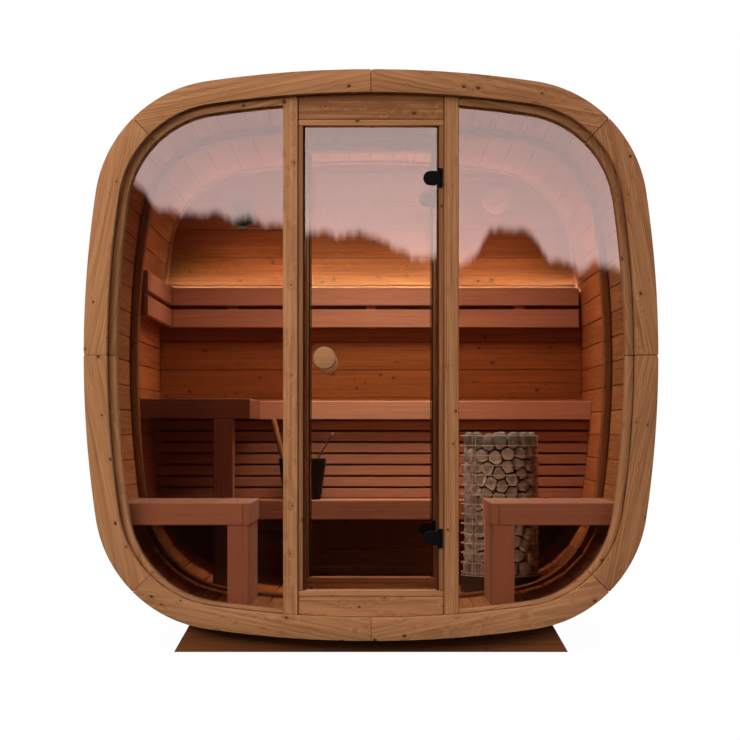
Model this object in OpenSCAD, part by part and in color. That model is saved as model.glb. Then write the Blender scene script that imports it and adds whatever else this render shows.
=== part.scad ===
// Rounded-square sauna cabin: a stave shell on two cradles, with a glazed front,
// a changing room, a glazed partition and a hot room with benches and a heater.
// The front faces -Y. Depths are measured back from the front ring's face.

/* [Cabin] */
// Overall width across the trim rings
cabin_w = 2048; // [1900:2:2300]
// Height of a trim ring
ring_h = 2038; // [1950:2:2300]
// Overall length from front ring to rear ring
cabin_l = 2070; // [2040:5:2600]
// Radius of the four rounded corners, measured on the ring's outer edge
corner_r = 468; // [400:2:520]
// How far each side swells out past the corner arcs
side_bulge = 38; // [20:1:60]
// Height of the rings' lowest point above the ground
ground_gap = 50; // [30:1:120]

/* [Shell] */
// Thickness of the staves
stave_t = 42; // [28:1:50]
// Flat staves in each half of a side
side_staves = 6; // [4:1:10]
// Flat staves in each corner
corner_staves = 5; // [3:1:9]
// Width of a trim ring's face
ring_w = 82; // [70:1:110]
// Thickness of the trim ring boards
ring_t = 45; // [28:1:60]
// How far the rings stand out past the staves
ring_overhang = 38; // [10:1:50]
// Gap at each joint of a ring
joint_gap = 1.5; // [0.5:0.1:3]
// Thickness of the back wall
back_wall_t = 42; // [28:1:60]
// How far the back wall sits inside the shell's rear end
back_wall_inset = 17; // [5:1:60]

/* [Cradles] */
// Width of a cradle on the ground
cradle_w = 1424; // [1200:2:1500]
// How much narrower each side gets for every millimetre of height
cradle_slope = 0.57; // [0.2:0.01:0.8]
// Thickness of a cradle board
cradle_t = 50; // [40:1:90]
// Distance from each end of the cabin to its cradle
cradle_inset = 110; // [60:5:400]

/* [Glazed walls] */
// Depth of the frames along the cabin
frame_t = 80; // [70:1:110]
// How far the frame stands in from the staves
frame_proud = 30; // [20:1:45]
// How much less it stands in at its lowest point
frame_ease = 16; // [0:1:18]
// Width of the posts beside a door
post_w = 52; // [40:1:80]
// Clear width between the door jambs
doorway_w = 484; // [440:2:640]
// Width of a door jamb
jamb_w = 21; // [18:1:35]
// Setback of jambs and panels behind the posts
jamb_setback = 10; // [9:1:16]
// Distance from the ring's top down to a doorway's head
doorway_drop = 194; // [160:2:300]
// Thickness of the head and the sill
head_h = 22; // [15:1:40]
// Distance from the ring's bottom up to a sill's top
sill_rise = 176; // [150:1:230]
// Thickness of the panels over and under a door
panel_t = 28; // [18:1:40]
// Depth of the hot room, from the partition to the back wall
hot_room_l = 1131; // [1080:1:1300]
// Thickness of all glass
glass_t = 8; // [6:1:12]
// Setback of the fixed panes behind the posts' faces
pane_setback = 36; // [20:1:50]
// Gap between a fixed pane and its frame
pane_fit = 0.3; // [0.1:0.1:1]
// How far the door stops stand in from the jambs
stop_proud = 10; // [6:1:14]
// Thickness of the door stops
stop_t = 12; // [8:1:20]

/* [Doors] */
// Gap all round a door
door_gap = 5; // [5:0.5:8]
// Setback of a door's glass behind the posts' faces
door_setback = 15; // [12:1:20]
// Distance from a doorway's head or sill to its hinge
hinge_inset = 187.5; // [120:0.5:300]
// Distance from a jamb's inner face to the hinge's axis
hinge_out = 2; // [1:0.5:4]
// Height of a glass clamp
clamp_h = 50; // [44:1:70]
// Length of a glass clamp along the door
clamp_l = 47; // [40:1:70]
// Gap between a clamp's straight end and the fixed knuckles
clamp_gap = 3; // [2:0.5:5]
// Setback of a clamp's front from the hinge's axis
clamp_set = 1; // [0:0.5:3]
// Thickness of the clamp's rear plate
clamp_back_t = 5; // [4:0.5:7]
// Height of a hinge's plate on the jamb
plate_h = 69; // [64:1:90]
// Width of a hinge's plate on the jamb
plate_w = 15; // [12:1:18]
// Thickness of a hinge's plate
plate_t = 4; // [3:0.5:5]
// Radius of the hinge knuckles
knuckle_r = 6; // [5.5:0.25:7]
// Radius of the hinge pin
pin_r = 3; // [2.5:0.25:3.5]
// Running gap round the hinge pin
pin_fit = 0.06; // [0.02:0.01:0.1]
// Length of the moving knuckle
knuckle_l = 36; // [26:1:40]
// Gap at each end of the moving knuckle
knuckle_gap = 1; // [0.5:0.25:2]
// Gap round the moving knuckle in the hinge's plate
knuckle_relief = 0.6; // [0.4:0.1:1]
// Radius of a door knob
knob_r = 40; // [28:1:45]
// Thickness of a knob's disc
knob_t = 22; // [12:1:30]
// Length of a knob's neck
knob_neck = 12; // [8:1:25]
// Radius of a knob's neck
knob_neck_r = 13; // [8:1:20]
// Distance from the doorway's middle to the knob
knob_x = 167; // [120:1:180]
// Height of the knobs above the ground
knob_z = 1060; // [900:5:1200]

/* [Benches] */
// Thickness of seats, rails and panels
board_t = 28; // [18:1:40]
// Height of the rails
rail_h = 80; // [60:1:100]
// Top of the low benches in the changing room
low_top = 537; // [440:1:600]
// Depth of the low benches' front
low_d = 138; // [130:1:200]
// Distance from the middle to a low bench
low_x = 437; // [430:1:560]
// Width of a low bench's leg
leg_w = 84; // [60:1:120]
// Setback of a low bench's side panel under its rail
panel_setback = 6; // [2:1:12]
// Top of the upper bench
upper_top = 928; // [860:2:1050]
// Depth of the upper bench from its front to the back wall
upper_w = 451; // [400:1:520]
// Distance from the middle to the left return of the upper bench
return_x = 478; // [440:1:560]
// Gap between the partition and the return's end
return_gap = 7; // [5:1:30]
// Width of the return's post
bench_post_w = 77; // [50:1:100]
// Depth of the return's post
bench_post_t = 150; // [50:5:200]
// Distance from the return's inner face to its post
bench_post_in = 69; // [30:1:120]
// Top of the step bench
step_top = 510; // [430:1:560]
// Width of the step bench
step_w = 252; // [200:2:300]
// Setback of the skirt behind the upper bench's front
skirt_setback = 53; // [40:1:80]
// Number of slats in the skirt
skirt_slats = 7; // [4:1:9]
// Gap between two slats
slat_gap = 7; // [4:0.5:12]
// Thickness of a slat
slat_t = 18; // [12:1:24]

/* [Backrest] */
// Lower edge of the backrest
rest_z = 1258; // [1150:2:1320]
// Height of a backrest board
rest_h = 80; // [60:1:100]
// Gap between the two boards
rest_gap = 17; // [8:1:30]
// Thickness of a backrest board
rest_t = 20; // [16:1:28]
// Distance from the back wall to the boards' front
rest_off = 92; // [70:1:120]
// Distance from the left wall to the side boards' front, at their top
rest_side_off = 46; // [40:1:90]
// Gap between the back boards' right end and the wall, at their top
rest_end_gap = 4; // [2:1:15]
// Width of a backrest bracket
bracket_w = 45; // [30:1:60]
// Distance from each end of the back boards to the middle of the outer brackets
bracket_in = 33; // [25:1:400]
// Distance from each end of the side boards to their brackets
side_bracket_in = 90; // [60:1:200]
// Height of the light strip's channel
strip_h = 16; // [10:1:24]
// Depth of the light strip's channel
strip_t = 12; // [8:1:20]
// Gap between the light strip and the brackets under it
strip_gap = 5; // [3:1:15]

/* [Heater] */
// Gap between the cage and the curved wall, at the base's top
heater_wall_gap = 13; // [8:1:60]
// Gap between the cage and the step bench
heater_step_gap = 74; // [20:1:90]
// Radius of the wire cage
cage_r = 160; // [140:1:165]
// Top of the cage above the ground
heater_top = 782; // [650:1:900]
// Top of the heater's base, which follows the curved floor, above the ground
heater_base_top = 215; // [210:1:260]
// Size of the cage's bars
cage_bar = 4; // [3:0.5:6]
// Hoops in the cage
cage_hoops = 5; // [3:1:8]
// Upright bars in the cage
cage_uprights = 8; // [6:1:12]
// Height of the stones above the cage
stone_heap = 5; // [2:1:20]

/* [Bucket] */
// Distance from the middle to the bucket's axis
bucket_x = 290; // [240:1:330]
// Distance from the step bench's front to the bucket's axis
bucket_in = 124; // [110:1:140]
// Radius of the bucket's rim
bucket_top_r = 101; // [90:1:105]
// Radius of the bucket's foot
bucket_foot_r = 78; // [70:1:88]
// Height of the bucket
bucket_h = 172; // [150:1:200]
// Thickness of the bucket's staves
bucket_t = 8; // [6:1:10]
// Radius of the bucket's wooden handle
handle_r = 12; // [8:0.5:13]
// Tilt of the bucket's handle
handle_tilt = 14.5; // [10:0.5:18]
// Height of the handle's top above the bucket's foot
handle_top = 343; // [250:1:360]
// Radius of the ladle's handle
ladle_r = 4; // [3:0.5:6]
// Tilt of the ladle's handle
ladle_tilt = 38.5; // [34:0.5:42]
// Direction in which the ladle leans towards the front
ladle_turn = 41; // [30:1:60]
// Height of the ladle's tip above the bucket's foot
ladle_top = 281; // [220:1:320]
// Distance from the bucket's axis to the ladle's bowl
ladle_in = 9; // [7:0.5:12]
// Radius of the ladle's bowl
ladle_bowl_r = 28; // [24:1:30]
// Height of the ladle's bowl
ladle_bowl_h = 34; // [30:1:40]

/* [Vents] */
// Radius of the round porthole vent
porthole_r = 57; // [40:1:70]
// Radius of the wooden vent cover
cover_r = 62; // [40:1:75]
// Thickness of both vents on the wall
vent_t = 20; // [10:1:30]
// Distance from the middle to the porthole vent
porthole_x = 571; // [500:1:620]
// Distance from the ring's top down to the porthole vent
porthole_drop = 322; // [290:1:430]
// Distance from the middle to the wooden vent cover
cover_x = 559; // [450:1:600]
// Distance from the ring's top down to the wooden vent cover
cover_drop = 255; // [240:1:380]

/* [Hidden] */

$fn = 64;

half_w = cabin_w / 2;
half_h = ring_h / 2;
mid_z = ground_gap + half_h;
ring_top = ground_gap + ring_h;

// The outline is eight tangent arcs: one flat arc a side and one tight arc a corner.
corner_reach = corner_r + side_bulge;
corner_x = half_w - corner_reach;
corner_z = half_h - corner_reach;
side_r = (pow(corner_z, 2) + pow(corner_reach, 2) - pow(corner_r, 2)) / (2 * side_bulge);
top_r = (pow(corner_x, 2) + pow(corner_reach, 2) - pow(corner_r, 2)) / (2 * side_bulge);
side_turn = atan2(corner_z, corner_x - half_w + side_r);
top_turn = atan2(corner_x, corner_z - half_h + top_r);

// Offsets of the shell's surfaces from the rings' outer edge
shell_out = -ring_overhang;
shell_in = shell_out - stave_t;
frame_in = shell_in - frame_proud;

// Flats in a smooth corner and in each half of a smooth side
smooth_side = 6;
smooth_corner = 12;
// Length that carries a cut clear of the face that it crosses
past = 5;
// A length greater than the cabin's
big = 4000;
// Gap between a piece and the seat that it rests on or leans on
seat_fit = 0.3;
// Setback of the cage's uprights inside its hoops, front and rear
bar_inset = 0.5;

front_d = ring_t;
inner_back_d = cabin_l - ring_t - back_wall_inset - back_wall_t;
partition_d = inner_back_d - hot_room_l - frame_t;
doorway_top = ring_top - doorway_drop;
sill_top = ground_gap + sill_rise;
post_in_x = doorway_w / 2 + jamb_w;
post_out_x = post_in_x + post_w;
door_half = doorway_w / 2 - door_gap;
door_bottom = sill_top + door_gap;
door_top = doorway_top - door_gap;
hinge_x = doorway_w / 2 + hinge_out;
hinge_off = jamb_setback - knuckle_r;
hinge_heights = [sill_top + hinge_inset, doorway_top - hinge_inset];
upper_d = inner_back_d - upper_w;
skirt_d = upper_d + skirt_setback;
step_d = skirt_d - step_w;
return_d = partition_d + frame_t + return_gap;
rest_d = inner_back_d - rest_off;
rest_top = rest_z + 2 * rest_h + rest_gap;
rest_left = round(wall_x(rest_top) - rest_side_off);
rest_right = round(wall_x(rest_top) - rest_end_gap);
heater_x = wall_x(heater_base_top) - cage_r - heater_wall_gap;
heater_d = step_d - cage_r - heater_step_gap;

thermo = "sienna";
dark_wood = "saddlebrown";
black = [0.05, 0.05, 0.05];
glass = [0.7, 0.6, 0.6, 0.35];

// Point of the outline's first quarter whose normal is at angle a, moved out by off
function quarter_point(a, off) =
    a < side_turn ? [half_w - side_r + (side_r + off) * cos(a), (side_r + off) * sin(a)] :
    a > 90 - top_turn ? [(top_r + off) * cos(a), half_h - top_r + (top_r + off) * sin(a)] :
    [corner_x + (corner_r + off) * cos(a), corner_z + (corner_r + off) * sin(a)];

// Point of the whole outline, in x and height above the ground
function rim(a, off) =
    let (p = quarter_point(atan2(abs(sin(a)), abs(cos(a))), off))
    [cos(a) < 0 ? -p.x : p.x, mid_z + (sin(a) < 0 ? -p.y : p.y)];

// Normal angles of one quarter, from 0 up to but without 90
function quarter_angles(side_n, corner_n) = concat(
    [for (i = [0:side_n - 1]) side_turn * i / side_n],
    [for (i = [0:corner_n - 1]) side_turn + (90 - side_turn - top_turn) * i / corner_n],
    [for (i = [0:side_n - 1]) 90 - top_turn + top_turn * i / side_n]);

// Normal angles of the whole outline, the same in every quarter
function turn_angles(side_n, corner_n) =
    let (q = quarter_angles(side_n, corner_n), n = len(q))
    concat(q, [90], [for (i = [n - 1:-1:1]) 180 - q[i]],
        [for (a = q) 180 + a], [270], [for (i = [n - 1:-1:1]) 360 - q[i]]);

function outline(angles, off) = [for (a = angles) rim(a, off)];

// Inner edge of a glazed wall's frame, or a line that lies fit farther in
function frame_edge(fit) = [for (a = smooth_angles)
    rim(a, frame_in + frame_ease * pow(max(0, -sin(a)), 2) - fit)];

// Distance from the middle to the inner face of the side walls at height z
function wall_x(z) = lookup(abs(z - mid_z),
    [for (a = concat(quarter_angles(side_staves, corner_staves), [90]))
        let (p = quarter_point(a, shell_in)) [p.y, p.x]]);

smooth_angles = turn_angles(smooth_side, smooth_corner);
stave_angles = turn_angles(side_staves, corner_staves);

// Y of a depth measured back from the front ring's face
function y_at(d) = d - cabin_l / 2;

// Extrudes a drawing in x and height from depth d0 back to depth d1
module along(d0, d1) {
    translate([0, y_at(d1), 0]) rotate([90, 0, 0]) linear_extrude(d1 - d0) children();
}

// Box between two x values, two depths and two heights
module block(x0, x1, d0, d1, z0, z1) {
    translate([x0, y_at(d0), z0]) cube([x1 - x0, d1 - d0, z1 - z0]);
}

// Round bar along Y between two depths
module round_y(x, z, r, d0, d1) {
    translate([x, y_at(d1), z]) rotate([90, 0, 0]) cylinder(r = r, h = d1 - d0);
}

// Round bar from p to q
module rod(p, q, r) {
    v = q - p;
    translate(p)
        rotate([0, acos(v.z / norm(v)), atan2(v.y, v.x)])
            cylinder(r = r, h = norm(v));
}

// The room inside the staves, between two depths
module room(d0, d1) {
    along(d0, d1) polygon(outline(stave_angles, shell_in));
}

module both_sides() {
    children();
    mirror([1, 0, 0]) children();
}

// --- Shell ---

module trim_ring(d0) {
    along(d0, d0 + ring_t) difference() {
        polygon(outline(smooth_angles, 0));
        polygon(outline(smooth_angles, -ring_w));
        for (a = [0:45:315]) {
            translate(rim(a, -ring_w / 2)) rotate(a)
                square([ring_w + 2 * past, joint_gap], center = true);
        }
    }
}

// Staves whose joints have the listed normal angles
module stave_run(angles) {
    n = len(angles);
    along(ring_t, cabin_l - ring_t) polygon(concat(
        outline(angles, shell_out),
        [for (i = [n - 1:-1:0]) rim(angles[i], shell_in)]));
}

module roof_shell() {
    color(thermo) stave_run([for (i = [-side_staves:side_staves])
        90 + top_turn * i / side_staves]);
}

module floor_shell() {
    color(thermo) stave_run([for (i = [-side_staves:side_staves])
        270 + top_turn * i / side_staves]);
}

module left_wall_shell() {
    color(thermo) stave_run([for (i = [-side_staves:side_staves])
        180 + side_turn * i / side_staves]);
}

module right_wall_shell() {
    color(thermo) stave_run([for (i = [-side_staves:side_staves])
        side_turn * i / side_staves]);
}

corner_angles = [for (i = [0:corner_staves])
    side_turn + (90 - side_turn - top_turn) * i / corner_staves];

module upper_right_corner_shell() {
    color(thermo) stave_run(corner_angles);
}

module upper_left_corner_shell() {
    color(thermo) stave_run([for (a = corner_angles) 180 - a]);
}

module lower_left_corner_shell() {
    color(thermo) stave_run([for (a = corner_angles) 180 + a]);
}

module lower_right_corner_shell() {
    color(thermo) stave_run([for (a = corner_angles) 360 - a]);
}

module front_trim_ring() {
    color(thermo) trim_ring(0);
}

module rear_trim_ring() {
    color(thermo) trim_ring(cabin_l - ring_t);
}

module back_wall() {
    color(thermo) room(inner_back_d, inner_back_d + back_wall_t);
}

module cradle(d0) {
    top_z = mid_z - corner_z;
    half = cradle_w / 2;
    along(d0, d0 + cradle_t) difference() {
        polygon([[-half, 0], [half, 0], [half - cradle_slope * top_z, top_z],
            [cradle_slope * top_z - half, top_z]]);
        polygon(outline(stave_angles, shell_out));
    }
}

module front_cradle() {
    color(dark_wood) cradle(cradle_inset);
}

module rear_cradle() {
    color(dark_wood) cradle(cabin_l - cradle_inset - cradle_t);
}

// --- Glazed walls: d0 is the depth of the frame's front ---

module frame_ring(d0) {
    along(d0, d0 + frame_t) difference() {
        polygon(outline(stave_angles, shell_in));
        polygon(frame_edge(0));
        translate([-post_out_x, 0]) square([2 * post_out_x, big]);
        for (a = [0:45:315]) {
            translate(rim(a, shell_in - frame_proud / 2)) rotate(a)
                square([frame_proud + 2 * past, joint_gap], center = true);
        }
    }
}

module posts(d0) {
    both_sides() intersection() {
        block(post_in_x, post_out_x, d0, d0 + frame_t, 0, big);
        room(d0, d0 + frame_t);
    }
}

module header_panel(d0) {
    intersection() {
        block(-post_in_x, post_in_x, d0 + jamb_setback, d0 + jamb_setback + panel_t,
            doorway_top + head_h, big);
        room(d0, d0 + frame_t);
    }
}

module sill_panel(d0) {
    intersection() {
        block(-post_in_x, post_in_x, d0 + jamb_setback, d0 + jamb_setback + panel_t,
            0, sill_top - head_h);
        room(d0, d0 + frame_t);
    }
}

module door_frame(d0) {
    jamb_x = doorway_w / 2;
    stop_x = jamb_x - stop_proud;
    stop_d = d0 + door_setback + glass_t + clamp_back_t + door_gap;
    front = d0 + jamb_setback;
    back = d0 + frame_t;
    both_sides() {
        block(jamb_x, post_in_x, front, back, sill_top + joint_gap, doorway_top - joint_gap);
        block(stop_x, post_in_x, stop_d, stop_d + stop_t,
            sill_top + joint_gap, doorway_top - joint_gap);
    }
    block(-post_in_x, post_in_x, front, back, doorway_top, doorway_top + head_h);
    block(-post_in_x, post_in_x, front, back, sill_top - head_h, sill_top);
}

module side_panes(d0) {
    front = d0 + pane_setback;
    both_sides() intersection() {
        block(post_out_x + pane_fit, big, front, front + glass_t, 0, big);
        along(front, front + glass_t) polygon(frame_edge(pane_fit));
    }
}

module at_hinge(d0, z) {
    translate([hinge_x, y_at(d0 + hinge_off), z]) children();
}

module knuckle(h, r) {
    cylinder(r = r, h = h, center = true);
}

// Plate on the jamb, its two knuckles and the pin through them
module hinge_plate() {
    difference() {
        union() {
            translate([-hinge_out, knuckle_r - plate_t, -plate_h / 2])
                cube([plate_w, plate_t, plate_h]);
            knuckle(plate_h, knuckle_r);
        }
        knuckle(knuckle_l + 2 * knuckle_gap, knuckle_r + knuckle_relief);
    }
    knuckle(plate_h, pin_r);
}

module hinge_plates(d0) {
    for (z = hinge_heights) {
        at_hinge(d0, z) hinge_plate();
    }
}

// Clamp plate whose front has a straight end at the hinge and a round far end
module clamp_plate(t) {
    round_r = clamp_h / 2;
    rotate([90, 0, 0]) linear_extrude(t) {
        translate([round_r - clamp_l, -round_r]) square([clamp_l - round_r, clamp_h]);
        translate([round_r - clamp_l, 0]) circle(r = round_r);
    }
}

module door_clamps(d0) {
    glass_y = door_setback - hinge_off;
    edge_x = -knuckle_r - clamp_gap;
    for (z = hinge_heights) {
        at_hinge(d0, z) difference() {
            union() {
                translate([edge_x, glass_y, 0]) clamp_plate(glass_y - clamp_set);
                translate([edge_x - clamp_gap, -knuckle_r, -knuckle_l / 2])
                    cube([clamp_gap - edge_x, 2 * knuckle_r, knuckle_l]);
                knuckle(knuckle_l, knuckle_r);
            }
            knuckle(knuckle_l + past, pin_r + pin_fit);
        }
        at_hinge(d0, z) translate([edge_x, glass_y + glass_t + clamp_back_t, 0])
            clamp_plate(clamp_back_t);
    }
}

module door_glass(d0) {
    block(-door_half, door_half, d0 + door_setback, d0 + door_setback + glass_t,
        door_bottom, door_top);
}

module door_knobs(d0) {
    face = d0 + door_setback;
    back = face + glass_t;
    round_y(-knob_x, knob_z, knob_neck_r, face - knob_neck, face);
    round_y(-knob_x, knob_z, knob_r, face - knob_neck - knob_t, face - knob_neck);
    round_y(-knob_x, knob_z, knob_neck_r, back, back + knob_neck);
    round_y(-knob_x, knob_z, knob_r, back + knob_neck, back + knob_neck + knob_t);
}

module front_frame_ring() {
    color(thermo) frame_ring(front_d);
}

module front_posts() {
    color(thermo) posts(front_d);
}

module front_header_panel() {
    color(thermo) header_panel(front_d);
}

module front_sill_panel() {
    color(thermo) sill_panel(front_d);
}

module front_door_frame() {
    color(thermo) door_frame(front_d);
}

module front_side_panes() {
    color(glass) side_panes(front_d);
}

module front_hinge_plates() {
    color(black) hinge_plates(front_d);
}

module front_door_glass() {
    color(glass) door_glass(front_d);
}

module front_door_clamps() {
    color(black) door_clamps(front_d);
}

module front_door_knobs() {
    color("peru") door_knobs(front_d);
}

module partition_frame_ring() {
    color(thermo) frame_ring(partition_d);
}

module partition_posts() {
    color(thermo) posts(partition_d);
}

module partition_header_panel() {
    color(thermo) header_panel(partition_d);
}

module partition_sill_panel() {
    color(thermo) sill_panel(partition_d);
}

module partition_door_frame() {
    color(thermo) door_frame(partition_d);
}

module partition_side_panes() {
    color(glass) side_panes(partition_d);
}

module partition_hinge_plates() {
    color(black) hinge_plates(partition_d);
}

module partition_door_glass() {
    color(glass) door_glass(partition_d);
}

module partition_door_clamps() {
    color(black) door_clamps(partition_d);
}

module partition_door_knobs() {
    color("peru") door_knobs(partition_d);
}

// --- Low benches in the changing room ---

module low_seat() {
    intersection() {
        block(low_x + board_t, big, low_d + board_t, partition_d, low_top - board_t, low_top);
        room(low_d, partition_d);
    }
}

module low_bench_frame() {
    rail_z = low_top - rail_h;
    panel_x = low_x + panel_setback;
    intersection() {
        union() {
            block(low_x, big, low_d, low_d + board_t, rail_z, low_top);
            block(low_x, low_x + board_t, low_d, partition_d, rail_z, low_top);
            block(panel_x, low_x + leg_w, low_d, low_d + board_t, 0, low_top);
            block(panel_x, panel_x + board_t - panel_setback, low_d, partition_d, 0, low_top);
        }
        room(low_d, partition_d);
    }
}

module left_low_seat() {
    color(dark_wood) mirror([1, 0, 0]) low_seat();
}

module left_low_bench_frame() {
    color(dark_wood) mirror([1, 0, 0]) low_bench_frame();
}

module right_low_seat() {
    color(dark_wood) low_seat();
}

module right_low_bench_frame() {
    color(dark_wood) low_bench_frame();
}

// --- Benches in the hot room ---

module upper_back_seat() {
    color(dark_wood) intersection() {
        block(-big, big, upper_d + board_t, inner_back_d, upper_top - board_t, upper_top);
        room(upper_d, inner_back_d);
    }
}

module upper_left_seat() {
    color(dark_wood) intersection() {
        block(-big, -return_x - board_t, return_d + board_t, upper_d + board_t,
            upper_top - board_t, upper_top);
        room(return_d, upper_d + board_t);
    }
}

// Front rail of the back run, inner rail of the return and the rail on its end
module upper_bench_rails() {
    rail_z = upper_top - rail_h;
    color(dark_wood) intersection() {
        union() {
            block(-return_x - board_t, big, upper_d, upper_d + board_t, rail_z, upper_top);
            block(-return_x - board_t, -return_x, return_d, upper_d + board_t,
                rail_z, upper_top);
            block(-big, -return_x, return_d, return_d + board_t, rail_z, upper_top);
        }
        room(return_d, upper_d + board_t);
    }
}

module upper_bench_post() {
    post_x = return_x + bench_post_in;
    color(dark_wood) intersection() {
        union() {
            block(-post_x - bench_post_w, -post_x, return_d + board_t,
                return_d + bench_post_t, 0, upper_top - board_t);
            block(-post_x - bench_post_w, -post_x, return_d, return_d + bench_post_t,
                0, upper_top - rail_h);
        }
        room(return_d, upper_d);
    }
}

module step_bench() {
    color(dark_wood) intersection() {
        union() {
            block(-big, big, step_d, skirt_d, step_top - board_t, step_top);
            block(-big, big, step_d, step_d + board_t, step_top - rail_h, step_top);
        }
        room(step_d, skirt_d);
    }
}

module bench_skirt() {
    pitch = (upper_top - rail_h - step_top) / skirt_slats;
    color(dark_wood) intersection() {
        for (i = [0:skirt_slats - 1]) {
            block(-big, big, skirt_d, skirt_d + slat_t,
                step_top + i * pitch + slat_gap / 2, step_top + (i + 1) * pitch - slat_gap / 2);
        }
        room(skirt_d, skirt_d + slat_t);
    }
}

// --- Backrest and its light ---

module back_backrest() {
    color(dark_wood) for (i = [0, 1]) {
        z = rest_z + i * (rest_h + rest_gap);
        block(-rest_left, rest_right, rest_d, rest_d + rest_t, z, z + rest_h);
    }
}

module left_backrest() {
    color(dark_wood) for (i = [0, 1]) {
        z = rest_z + i * (rest_h + rest_gap);
        block(-rest_left - rest_t, -rest_left, return_d, rest_d + rest_t, z, z + rest_h);
    }
}

module backrest_brackets() {
    color(dark_wood) intersection() {
        union() {
            for (x = [bracket_in - rest_left, 0, rest_right - bracket_in]) {
                block(x - bracket_w / 2, x + bracket_w / 2, rest_d + rest_t, inner_back_d,
                    rest_z, rest_top - strip_h - strip_gap);
            }
            for (d = [return_d + side_bracket_in, rest_d - side_bracket_in - bracket_w]) {
                block(-big, -rest_left - rest_t, d, d + bracket_w, rest_z, rest_top);
            }
        }
        room(return_d, inner_back_d);
    }
}

module light_strip() {
    color("orange") block(-rest_left, rest_right, rest_d + rest_t, rest_d + rest_t + strip_t,
        rest_top - strip_h, rest_top);
}

// --- Heater ---

module at_heater(z) {
    translate([heater_x, y_at(heater_d), z]) children();
}

module ring_band(r, t, h) {
    rotate_extrude() translate([r - t, 0]) square([t, h]);
}

module heater_base() {
    color(black) intersection() {
        at_heater(0) cylinder(r = cage_r, h = heater_base_top);
        room(heater_d - cage_r - past, heater_d + cage_r + past);
    }
}

module heater_cage() {
    cage_h = heater_top - heater_base_top;
    rise = (cage_h - cage_bar) / (cage_hoops - 1);
    color("dimgray") at_heater(heater_base_top) {
        for (i = [0:cage_hoops - 1]) {
            translate([0, 0, i * rise]) ring_band(cage_r, cage_bar, cage_bar);
        }
        for (i = [0:cage_uprights - 1]) {
            rotate((i + 0.5) * 360 / cage_uprights)
                translate([cage_r - cage_bar + bar_inset, -cage_bar / 2, 0])
                    cube([cage_bar - 2 * bar_inset, cage_bar, cage_h]);
        }
    }
}

module heater_stones() {
    color("gray") at_heater(heater_base_top)
        cylinder(r = cage_r - cage_bar - seat_fit,
            h = heater_top + stone_heap - heater_base_top);
}

// --- Bucket with its handle, and the ladle, on the step bench ---

module at_bucket(z) {
    translate([-bucket_x, y_at(step_d + bucket_in), z]) children();
}

module bucket() {
    color(black) at_bucket(step_top) rotate_extrude() polygon([
        [0, 0], [bucket_foot_r, 0], [bucket_top_r, bucket_h], [bucket_top_r - bucket_t, bucket_h],
        [bucket_foot_r - bucket_t, bucket_t], [0, bucket_t]]);
}

// Bar that stands on the bucket's bottom and leans on its rim in direction turn,
// from height low to height high above the bucket's foot
module leaning_bar(r, tilt, turn, low, high) {
    rim_x = bucket_top_r - bucket_t - (r + seat_fit) / cos(tilt);
    low_x = rim_x - (bucket_h - low) * tan(tilt);
    high_x = rim_x + (high - bucket_h) * tan(tilt);
    rotate(turn) rod([low_x, 0, low], [high_x, 0, high], r);
}

module bucket_handle() {
    low = bucket_t + handle_r * sin(handle_tilt) + seat_fit;
    color("burlywood") at_bucket(step_top)
        leaning_bar(handle_r, handle_tilt, 180, low, handle_top);
}

module ladle() {
    color("peru") at_bucket(step_top) {
        translate([ladle_in, 0, bucket_t + seat_fit]) cylinder(r = ladle_bowl_r, h = ladle_bowl_h);
        leaning_bar(ladle_r, ladle_tilt, -ladle_turn, bucket_t + ladle_bowl_h - ladle_r, ladle_top);
    }
}

// --- Vents on the back wall ---

module porthole_vent() {
    color("teal") round_y(-porthole_x, ring_top - porthole_drop, porthole_r,
        inner_back_d - vent_t, inner_back_d);
}

module vent_cover() {
    color("peru") round_y(cover_x, ring_top - cover_drop, cover_r,
        inner_back_d - vent_t, inner_back_d);
}

front_trim_ring();
rear_trim_ring();
roof_shell();
floor_shell();
left_wall_shell();
right_wall_shell();
upper_left_corner_shell();
upper_right_corner_shell();
lower_left_corner_shell();
lower_right_corner_shell();
back_wall();
front_cradle();
rear_cradle();
front_frame_ring();
front_posts();
front_header_panel();
front_sill_panel();
front_door_frame();
front_side_panes();
front_hinge_plates();
front_door_glass();
front_door_clamps();
front_door_knobs();
partition_frame_ring();
partition_posts();
partition_header_panel();
partition_sill_panel();
partition_door_frame();
partition_side_panes();
partition_hinge_plates();
partition_door_glass();
partition_door_clamps();
partition_door_knobs();
left_low_seat();
left_low_bench_frame();
right_low_seat();
right_low_bench_frame();
upper_back_seat();
upper_left_seat();
upper_bench_rails();
upper_bench_post();
step_bench();
bench_skirt();
back_backrest();
left_backrest();
backrest_brackets();
light_strip();
heater_base();
heater_cage();
heater_stones();
bucket();
bucket_handle();
ladle();
porthole_vent();
vent_cover();
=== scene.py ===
"""Looks of a rounded-square sauna cabin: a stave shell on two cradles, with a glazed front,
a changing room, a glazed partition and a hot room with benches, a lit backrest and a heater.
Lengths are metres in the frame's own axes: X to the right, Y to the back, Z up."""

import random
from math import acos, asin, atan2, copysign, cos, dist, hypot, pi, radians, sin, sqrt, tan

import bpy
import bmesh
import numpy as np
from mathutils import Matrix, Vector, noise

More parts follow.
